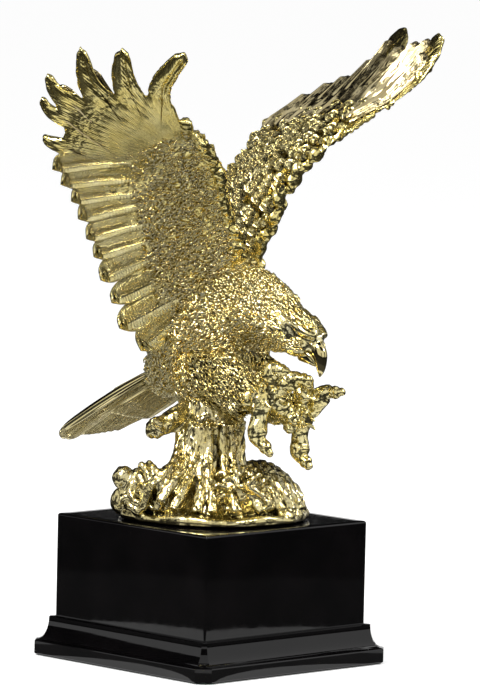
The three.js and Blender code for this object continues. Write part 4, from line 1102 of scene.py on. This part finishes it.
# Curled leaves of the burl
BURL_LEAVES = [
    [(-47.4, -7.4, 109.5, 2.2), (-47.4, -1.4, 106, 2.6), (-48.4, 1.6, 99.3, 2.8), (-50, 0.6, 92, 2.8),
     (-51, -1, 86, 2.2)],
    [(-43.4, -5.8, 110.4, 2), (-44.4, 2.8, 106, 2.4), (-44.9, 6.6, 99.5, 2.6), (-46, 7.6, 92, 2.6),
     (-48, 7, 86, 2.2)],
    [(-51, -17, 98, 2.2), (-52, -15, 92.6, 2.8), (-52, -9, 87, 2.8), (-51.5, -1, 84, 2.4)],
    [(-50, -10, 99.9, 1.8), (-52, -10, 95, 2.2), (-52, -6, 90, 2.2), (-51, -1, 88.4, 1.8)],
    [(-48.5, -7, 104, 1.8), (-49.5, -2, 98, 2.2), (-50.5, -1, 92, 2)],
]


def ground_plate():
    turn = np.linspace(0, 2 * np.pi, 160, endpoint=False)
    wander = 1 + 0.02 * np.sin(5 * turn) + 0.012 * np.cos(9 * turn) + 0.006 * np.sin(23 * turn)
    rings = []
    for reach, height in PLATE_RIM_SHARES:
        r = PLATE_RADIUS * reach * wander
        z = BOX_TOP + PLATE_THICK * height * (1 + 0.12 * np.sin(7 * turn + 1))
        rings.append(np.stack([r * np.cos(turn), r * np.sin(turn), z], -1))
    return loft(np.array(rings))


def bark(share, turn):
    return 1 + 0.1 * np.cos(3 * turn + 9 * share) + 0.08 * np.cos(5 * turn - 23 * share)


def add_roots(form, rng):
    """Ropes of wood that run down the trunk and spread into roots."""
    for rows in ROOTS:
        form.add(limb(rows, 16, 60, bark))
    low, high = NEAR_SIDE_DEGREES
    for k in range(FAR_ROOTS):
        turn = 2 * math.pi * (k + rng.uniform(-0.25, 0.25)) / FAR_ROOTS
        drift = rng.uniform(-0.3, 0.3)
        spread = rng.uniform(0.75, 1.05)
        if low < math.degrees(turn) < high:
            continue
        out = [(share, radius * spread, height, thick)
               for share, radius, height, thick in FAR_ROOT_OUT_SHARES]
        rows = []
        for share, radius, height, thick in FAR_ROOT_DOWN_SHARES + out:
            at = turn + drift * share + 0.08 * math.sin(5 * share + k)
            rows.append((radius * math.cos(at), -radius * math.sin(at), BOX_TOP + height, thick))
        form.add(limb(rows, 16, 60, bark))


def crumple(form, middle, size, count, rng):
    """Small leaves that curl over each other round a place."""
    for _ in range(count):
        start = np.array(middle) + np.clip(rng.normal(0, 0.42, 3), -0.8, 0.8) * size
        step = np.clip(rng.normal(0, 0.3, 3), -0.4, 0.4) * size
        bend = rng.normal(0, 0.16, 3) * size
        thick = rng.uniform(0.09, 0.15) * size
        rows = [(*start, thick), (*(start + step + bend), thick * 1.3), (*(start + 2 * step), thick * 0.6)]
        form.add(limb(rows, 10, 14))


def make_stump():
    rng = np.random.default_rng(41)
    form = Form()
    form.add(ground_plate())
    form.add(limb([(side, ahead, BOX_TOP + up, thick) for side, ahead, up, thick in TRUNK], 40, 46))
    add_roots(form, rng)
    for row in BURL_BALLS:
        form.add(ball(*row))
    for rows in BURL_LEAVES:
        form.add(limb(rows, 14, 40))
    for middle, size, count in CRUMPLES:
        crumple(form, middle, size, count, rng)
    for row in MOUND_BALLS:
        form.add(ball(*row))
    for rows in MOUND_RIDGES:
        form.add(limb(rows, 16, 50, bark))
    form.add(limb(BRANCH, 24, 50, bark))
    form.add(ball(*BRANCH_END))
    form.add(limb(VINE, 24, 40, bark))
    for turn in np.radians(PLATE_BULGE_TURNS):
        form.add(ball(47 * math.cos(turn), -46 * math.sin(turn), BOX_TOP + 4.2, *PLATE_BULGE))
    points, quads, tris = fuse(form, STUMP_VOXEL, 1)
    plate = points[:, 2] < BOX_TOP + PLATE_THICK
    rim = plate & (np.hypot(points[:, 0], points[:, 1]) > PLATE_RADIUS * 0.9)
    depth = np.where(rim, 0.1, 0.5) * rough(points * [1, 1, 0.4], 2.6)
    points = points + normals_of(points, quads) * depth[:, None]
    points[:, 2] = np.maximum(points[:, 2], BOX_TOP)
    skin = Form()
    skin.add((points, quads, tris))
    make_piece(skin, "stump_bark", gold_bark, replaced=["tree_stump"])


# Plinth

def mitred_square(half, cut, z):
    corners = []
    for turn in range(4):
        c, s = round(math.cos(turn * math.pi / 2)), round(math.sin(turn * math.pi / 2))
        for x, y in ((half, half - cut), (half - cut, half)):
            corners.append((x * c - y * s, x * s + y * c, z))
    return corners


def rounded_square(half, corner, z):
    steps = 6
    ring = []
    for turn in range(4):
        for k in range(steps + 1):
            at = math.pi / 2 * (turn + k / steps)
            middle = math.pi / 2 * turn + math.pi / 4
            x = math.copysign(half - corner, math.cos(middle)) + corner * math.cos(at)
            y = math.copysign(half - corner, math.sin(middle)) + corner * math.sin(at)
            ring.append((x, y, z))
    return ring


def quarter(steps):
    """Turns from 0 to a right angle."""
    return [math.pi / 2 * k / steps for k in range(steps + 1)]


def make_skirt():
    slab = BOX_HALF + SLAB_REACH
    rings = [mitred_square(BASE_PLATE_HALF + FIT_GAP, INNER_CUT, SLAB_LOW),
             mitred_square(slab - 0.4, SLAB_CHAMFER, SLAB_LOW),
             mitred_square(slab, SLAB_CHAMFER, SLAB_LOW + 0.5),
             mitred_square(slab, SLAB_CHAMFER, SLAB_TOP - SLAB_EDGE)]
    for turn in quarter(3):
        rings.append(mitred_square(slab - SLAB_EDGE * (1 - math.cos(turn)), SLAB_CHAMFER,
                                   SLAB_TOP - SLAB_EDGE * (1 - math.sin(turn))))
    cove_reach = SLAB_REACH - SLAB_EDGE
    for turn in reversed(quarter(14)):
        reach = cove_reach - (cove_reach - LIP_REACH) * math.cos(turn)
        cut = LIP_CHAMFER + (SLAB_CHAMFER - LIP_CHAMFER) * (1 - math.cos(turn))
        rings.append(mitred_square(BOX_HALF + reach, cut, LIP_TOP - (LIP_TOP - SLAB_TOP) * math.sin(turn)))
    lip_crest = LIP_TOP + LIP_ROUND
    rings.append(mitred_square(BOX_HALF + LIP_REACH - 0.5, LIP_CHAMFER, lip_crest))
    for half, up in ((BOX_HALF + FIT_GAP, lip_crest), (BOX_HALF + FIT_GAP, BOX_FOOT),
                     (BOX_HALF - LEDGE_WIDTH, BOX_FOOT), (BOX_HALF - LEDGE_WIDTH, BASE_PLATE_TOP),
                     (BASE_PLATE_HALF + FIT_GAP, BASE_PLATE_TOP)):
        rings.append(mitred_square(half, INNER_CUT, up))
    form = Form()
    form.add(tube(np.array(rings)))
    make_piece(form, "skirt_moulding", lacquer, ["plinth_skirt"], sharp=28)


def tube(rings):
    """A closed skin over rings whose last ring joins the first."""
    rows, sides, _ = rings.shape
    k, j = np.meshgrid(np.arange(rows), np.arange(sides), indexing="ij")
    a = k * sides + j
    b = k * sides + (j + 1) % sides
    c = (k + 1) % rows * sides + (j + 1) % sides
    d = (k + 1) % rows * sides + j
    quads = np.stack([a, b, c, d], -1).reshape(-1, 4)
    points = rings.reshape(-1, 3)
    none = np.zeros((0, 3), int)
    if volume(points, quads, none) < 0:
        quads = quads[:, ::-1]
    return points, quads, none


def make_box():
    inner = BOX_HALF - BOX_WALL
    rings = [rounded_square(BOX_HALF - 0.4, BOX_EDGE, BOX_FOOT)]
    # Rings close to the edges keep the shading of the flat sides flat
    for up in (BOX_FOOT + 0.4, BOX_FOOT + 1.2, BOX_TOP - BOX_EDGE - 0.8):
        rings.append(rounded_square(BOX_HALF, BOX_EDGE, up))
    for turn in quarter(6):
        rings.append(rounded_square(BOX_HALF - BOX_EDGE * (1 - math.cos(turn)), BOX_EDGE,
                                    BOX_TOP - BOX_EDGE * (1 - math.sin(turn))))
    for half, corner, up in ((inner, BOX_EDGE, BOX_TOP), (BORE_HALF, 1, BOX_TOP),
                             (BORE_HALF, 1, BOX_TOP - BOX_WALL), (inner, BOX_EDGE, BOX_TOP - BOX_WALL),
                             (inner, BOX_EDGE, BOX_FOOT)):
        rings.append(rounded_square(half, corner, up))
    form = Form()
    form.add(tube(np.array(rings)))
    make_piece(form, "box_shell", lacquer, ["plinth_box"], sharp=28)


# Materials

def add_node(tree, kind, **settings):
    node = tree.nodes.new(kind)
    for key, value in settings.items():
        setattr(node, key, value)
    return node


def base_material(name):
    material = bpy.data.materials.new(name)
    material.use_nodes = True
    tree = material.node_tree
    return material, tree, tree.nodes["Principled BSDF"]


def noise_at(tree, size, detail=3):
    """Noise that changes over size millimetres, in the object's own space."""
    place = add_node(tree, "ShaderNodeTexCoord")
    texture = add_node(tree, "ShaderNodeTexNoise")
    texture.inputs["Scale"].default_value = 1 / (size * MM)
    texture.inputs["Detail"].default_value = detail
    tree.links.new(place.outputs["Object"], texture.inputs["Vector"])
    return texture.outputs["Fac"]


def ramp(tree, fac, low, high, first, last):
    """Goes from the first colour or grey to the last while fac goes from low to high."""
    node = add_node(tree, "ShaderNodeValToRGB")
    for element, at, colour in zip(node.color_ramp.elements, (low, high), (first, last)):
        red_green_blue = colour if isinstance(colour, tuple) else (colour,) * 3
        element.position = at
        element.color = (*red_green_blue, 1)
    tree.links.new(fac, node.inputs["Fac"])
    return node.outputs["Color"]


def bump(tree, height, deep, under=None):
    """A relief as deep as the given millimetres, over another one where there is one under it."""
    node = add_node(tree, "ShaderNodeBump")
    node.inputs["Distance"].default_value = deep * MM
    tree.links.new(height, node.inputs["Height"])
    if under:
        tree.links.new(under, node.inputs["Normal"])
    return node.outputs["Normal"]


def gold_material(name, pale, rich, painted_fold_shade, pits_deep=0.1, gloss=(0.1, 0.24), painted_shade_reach=2.2):
    """Bright plating, paler on high places, with painted shade: warmer and duller colour in the folds, from
    ambient occlusion.
    """
    material, tree, shader = base_material(name)
    shader.inputs["Metallic"].default_value = 1
    # Painted shade: ambient occlusion mixes the fold colour into the colour in creases and hollows
    near = add_node(tree, "ShaderNodeAmbientOcclusion", samples=4)
    near.inputs["Distance"].default_value = painted_shade_reach * MM
    mix = add_node(tree, "ShaderNodeMix", data_type="RGBA", blend_type="MULTIPLY")
    mix.inputs["Factor"].default_value = 1
    tree.links.new(ramp(tree, noise_at(tree, 9), 0.35, 0.68, pale, rich), mix.inputs["A"])
    tree.links.new(ramp(tree, near.outputs["AO"], 0.25, 0.75, painted_fold_shade, 1), mix.inputs["B"])
    tree.links.new(mix.outputs["Result"], shader.inputs["Base Color"])
    tree.links.new(ramp(tree, noise_at(tree, 1.5), 0.35, 0.7, *gloss), shader.inputs["Roughness"])
    grain = add_node(tree, "ShaderNodeAttribute", attribute_name="grain")
    turns = add_node(tree, "ShaderNodeMath", operation="MULTIPLY")
    turns.inputs[1].default_value = 2 * math.pi
    ridges = add_node(tree, "ShaderNodeMath", operation="SINE")
    tree.links.new(grain.outputs["Fac"], turns.inputs[0])
    tree.links.new(turns.outputs[0], ridges.inputs[0])
    lines = bump(tree, ridges.outputs[0], 0.05)
    pits = bump(tree, noise_at(tree, 0.9, 4), pits_deep, under=lines)
    tree.links.new(pits, shader.inputs["Normal"])
    return material


def gloss_material():
    """Black lacquer with a faint ripple, a little duller in places."""
    material, tree, shader = base_material("plinth_lacquer")
    colour = ramp(tree, noise_at(tree, 30), 0.4, 0.7, (0.0012, 0.0011, 0.0012), (0.0024, 0.002, 0.0022))
    tree.links.new(colour, shader.inputs["Base Color"])
    tree.links.new(ramp(tree, noise_at(tree, 6), 0.4, 0.75, 0.03, 0.07), shader.inputs["Roughness"])
    tree.links.new(bump(tree, noise_at(tree, 12, 1), 0.02), shader.inputs["Normal"])
    shader.inputs["Specular IOR Level"].default_value = 0.35
    return material


def metal_material(name, light, dark, grain_size, roughness):
    """Plain machined or rolled metal for the pieces inside."""
    material, tree, shader = base_material(name)
    shader.inputs["Metallic"].default_value = 1
    colour = ramp(tree, noise_at(tree, grain_size * 6), 0.35, 0.7, dark, light)
    dull = ramp(tree, noise_at(tree, grain_size), 0.3, 0.7, roughness, roughness + 0.15)
    tree.links.new(colour, shader.inputs["Base Color"])
    tree.links.new(dull, shader.inputs["Roughness"])
    tree.links.new(bump(tree, noise_at(tree, grain_size), 0.03), shader.inputs["Normal"])
    return material


def felt_material():
    material, tree, shader = base_material("felt")
    colour = ramp(tree, noise_at(tree, 0.6, 5), 0.3, 0.75, (0.004, 0.009, 0.006), (0.02, 0.035, 0.025))
    tree.links.new(colour, shader.inputs["Base Color"])
    shader.inputs["Roughness"].default_value = 1
    shader.inputs["Sheen Weight"].default_value = 0.3
    tree.links.new(bump(tree, noise_at(tree, 0.3, 5), 0.2), shader.inputs["Normal"])
    return material


# The third colour of each gold is painted shade, mixed in by ambient occlusion in folds and creases
gold_pale = gold_material("gold_pale", (0.84, 0.76, 0.45), (0.82, 0.70, 0.31), (0.95, 0.9, 0.68))
gold_rich = gold_material("gold_rich", (0.83, 0.74, 0.39), (0.80, 0.67, 0.26), (0.2, 0.19, 0.13))
# The bark's near-black third colour paints deep shade into its crevices
gold_bark = gold_material("gold_bark", (0.66, 0.58, 0.32), (0.64, 0.54, 0.23), (0.05, 0.05, 0.03),
                          painted_shade_reach=4)
# A darker copy of the gold for the beak and tail, whose darkness is painted shade
gold_smooth_shaded = gold_material("gold_smooth_shaded", (0.68, 0.6, 0.33), (0.64, 0.54, 0.25), (0.2, 0.19, 0.13), 0.015,
                            (0.06, 0.12))
gold_satin = gold_material("gold_satin", (0.82, 0.71, 0.3), (0.80, 0.66, 0.22), (0.5, 0.42, 0.2), 0.05,
                           (0.16, 0.26))
# A darker copy of the gold for the primaries on the back of the hand, whose darkness is painted shade
gold_painted_shade = gold_material("gold_painted_shade", (0.5, 0.43, 0.25), (0.4, 0.33, 0.17), (0.08, 0.07, 0.04), 0.03,
                          (0.1, 0.2))
lacquer = gloss_material()

make_wing(RIGHT_WING)
make_wing(LEFT_WING)
make_body()
make_tail()
make_foot("talons_right", "right_foot", -1, RIGHT_ANKLE_UP, RIGHT_PALM_UP, RIGHT_TOES, 51)
make_foot("talons_left", "left_foot", 1, LEFT_ANKLE_UP, LEFT_PALM_UP, LEFT_TOES, 52)
make_stump()
make_skirt()
make_box()

steel = metal_material("rolled_steel", (0.5, 0.51, 0.52), (0.36, 0.37, 0.38), 1.2, 0.3)
zinc = metal_material("zinc_plate", (0.66, 0.67, 0.68), (0.5, 0.51, 0.52), 0.8, 0.22)
brass = metal_material("turned_brass", (0.66, 0.5, 0.2), (0.5, 0.36, 0.13), 0.8, 0.25)
felt = felt_material()
SLOT_MATERIALS = {
    "gold_plate": gold_pale, "plinth_gloss": lacquer, "felt": felt, "plate_steel": steel,
    "fastener_steel": zinc, "pin_steel": steel, "insert_brass": brass,
}
slot_of = {row["node"]: row["material_slot"] for row in frame["record"]["subparts"]}
for node, piece in frame["nodes"].items():
    piece.data.materials.clear()
    piece.data.materials.append(SLOT_MATERIALS[slot_of[node]])


# Stage

CAMERA_AZIMUTH = -43.55
CAMERA_ELEVATION = 5.63
CAMERA_ROLL = 1.33
CAMERA_DISTANCE = 3398
CAMERA_TARGET = (9.4, -9.1, 174.5)
PICTURE_HEIGHT = 685
FOCAL_PIXELS = 6230
SENSOR = 36
FLOOR_GLOW = 0.3

FLOOR_HALF = 20000
SKY_LIGHT = 0.75
LAMP_DISTANCE = 1500
# Name, azimuth, elevation, size and power
LAMPS = [("key", -80, 45, 500, 20), ("fill", 30, 35, 400, 8)]

# Dark cards round the object, in degrees: azimuth, half width, lowest and highest elevation
DOME_RADIUS = 1700
DOME_SHADE = 0.01
DOME_CARDS = [
    (-100, 12, 0, 45), (-44, 5, 6, 24), (20, 10, 0, 50), (80, 14, 0, 34), (165, 58, 9, 64),
    (-20, 24, 36, 58), (92, 15, 36, 60), (20, 80, 64, 90), (200, 70, 68, 90),
]
# Rings on the floor in millimetres, and their shades
RING_LIFT = 0.5
FLOOR_RINGS = [(95, 135, 0.12), (135, 165, 0.7), (165, 215, 0.75), (215, 420, 0.05), (420, 9000, 0.02)]


def toward(azimuth, elevation):
    """Direction to a place round the object, in degrees off the front and off the floor."""
    az, el = math.radians(azimuth), math.radians(elevation)
    return Vector((math.sin(az) * math.cos(el), -math.cos(az) * math.cos(el), math.sin(el)))


def make_camera():
    back = toward(CAMERA_AZIMUTH, CAMERA_ELEVATION)
    right = toward(CAMERA_AZIMUTH + 90, 0)
    up = back.cross(right)
    roll = math.radians(CAMERA_ROLL)
    across = right * math.cos(roll) + up * math.sin(roll)
    above = up * math.cos(roll) - right * math.sin(roll)
    data = bpy.data.cameras.new("camera")
    data.sensor_fit = "VERTICAL"
    data.sensor_height = SENSOR
    data.lens = SENSOR * FOCAL_PIXELS / PICTURE_HEIGHT
    data.clip_end = 100
    camera = bpy.data.objects.new("camera", data)
    camera.matrix_world = Matrix((across, above, back)).transposed().to_4x4()
    camera.location = (Vector(CAMERA_TARGET) + back * CAMERA_DISTANCE) * MM
    bpy.context.scene.collection.objects.link(camera)
    bpy.context.scene.camera = camera


def plain_material(name, shade):
    """A dull grey surface."""
    material, tree, shader = base_material(name)
    shader.inputs["Base Color"].default_value = (shade, shade, shade, 1)
    shader.inputs["Roughness"].default_value = 1
    shader.inputs["Specular IOR Level"].default_value = 0
    return material, tree, shader


def seen_directly(tree):
    """1 for rays from the camera, a mirror or clear glass, and 0 for the rest."""
    path = add_node(tree, "ShaderNodeLightPath")
    seen = add_node(tree, "ShaderNodeMath", operation="MAXIMUM")
    clear = add_node(tree, "ShaderNodeMath", operation="MAXIMUM")
    tree.links.new(path.outputs["Is Camera Ray"], seen.inputs[0])
    tree.links.new(path.outputs["Is Glossy Ray"], seen.inputs[1])
    tree.links.new(seen.outputs[0], clear.inputs[0])
    tree.links.new(path.outputs["Is Transmission Ray"], clear.inputs[1])
    return clear.outputs[0]


def make_floor():
    """A pale floor that looks white, and darkens only where the object shades it."""
    material, tree, shader = plain_material("pale_floor", 0.9)
    shader.inputs["Emission Color"].default_value = (1, 1, 1, 1)
    glow = add_node(tree, "ShaderNodeMath", operation="MULTIPLY")
    glow.inputs[1].default_value = FLOOR_GLOW
    tree.links.new(seen_directly(tree), glow.inputs[0])
    tree.links.new(glow.outputs[0], shader.inputs["Emission Strength"])
    corners = [(x * FLOOR_HALF, y * FLOOR_HALF, 0) for x, y in ((-1, -1), (1, -1), (1, 1), (-1, 1))]
    stage_card("floor", corners, [(0, 1, 2, 3)], material)


def stage_card(name, points, faces, material, only_mirrored=False):
    """A card of the studio, which may be one that only the metal and the lacquer mirror."""
    mesh = bpy.data.meshes.new(name)
    mesh.from_pydata([Vector(p) * MM for p in points], [], faces)
    mesh.materials.append(material)
    card = bpy.data.objects.new(name, mesh)
    bpy.context.scene.collection.objects.link(card)
    if only_mirrored:
        card.visible_camera = False
        card.visible_diffuse = False
        card.visible_shadow = False
        card.visible_transmission = False
        card.visible_volume_scatter = False


def flag(name, points, faces, shade):
    material, _, _ = plain_material(name, shade)
    stage_card(name, points, faces, material, only_mirrored=True)


def make_flags():
    """Dark cards on a dome round the object, and rings on the floor."""
    steps = 6
    for number, (azimuth, half_turn, low, high) in enumerate(DOME_CARDS):
        points = [toward(turn, elevation) * DOME_RADIUS
                  for elevation in np.linspace(low, high, steps)
                  for turn in np.linspace(azimuth - half_turn, azimuth + half_turn, steps)]
        faces = [(k, k + 1, k + steps + 1, k + steps)
                 for k in range(steps * (steps - 1)) if (k + 1) % steps]
        flag(f"dome_card_{number}", points, faces, DOME_SHADE)
    sides = 48
    turns = np.linspace(0, 2 * np.pi, sides, endpoint=False)
    for inner, outer, shade in FLOOR_RINGS:
        points = [(r * math.cos(a), r * math.sin(a), RING_LIFT) for r in (inner, outer) for a in turns]
        faces = [(k, (k + 1) % sides, sides + (k + 1) % sides, sides + k) for k in range(sides)]
        flag(f"floor_ring_{inner}", points, faces, shade)


def make_world():
    world = bpy.data.worlds.new("studio")
    bpy.context.scene.world = world
    world.use_nodes = True
    tree = world.node_tree
    background = tree.nodes["Background"]
    background.inputs["Color"].default_value = (1, 1, 1, 1)
    level = add_node(tree, "ShaderNodeMapRange")
    level.inputs["To Min"].default_value = SKY_LIGHT
    level.inputs["To Max"].default_value = 1
    tree.links.new(seen_directly(tree), level.inputs["Value"])
    tree.links.new(level.outputs["Result"], background.inputs["Strength"])


def make_lamp(name, azimuth, elevation, size, power):
    back = toward(azimuth, elevation)
    data = bpy.data.lights.new(name, "AREA")
    data.shape = "DISK"
    data.size = size * MM
    data.energy = power
    lamp = bpy.data.objects.new(name, data)
    lamp.rotation_euler = back.to_track_quat("Z", "Y").to_euler()
    lamp.location = (Vector(CAMERA_TARGET) + back * LAMP_DISTANCE) * MM
    bpy.context.scene.collection.objects.link(lamp)


bpy.context.scene.view_settings.view_transform = "Standard"
make_camera()
make_floor()
make_flags()
make_world()
for row in LAMPS:
    make_lamp(*row)
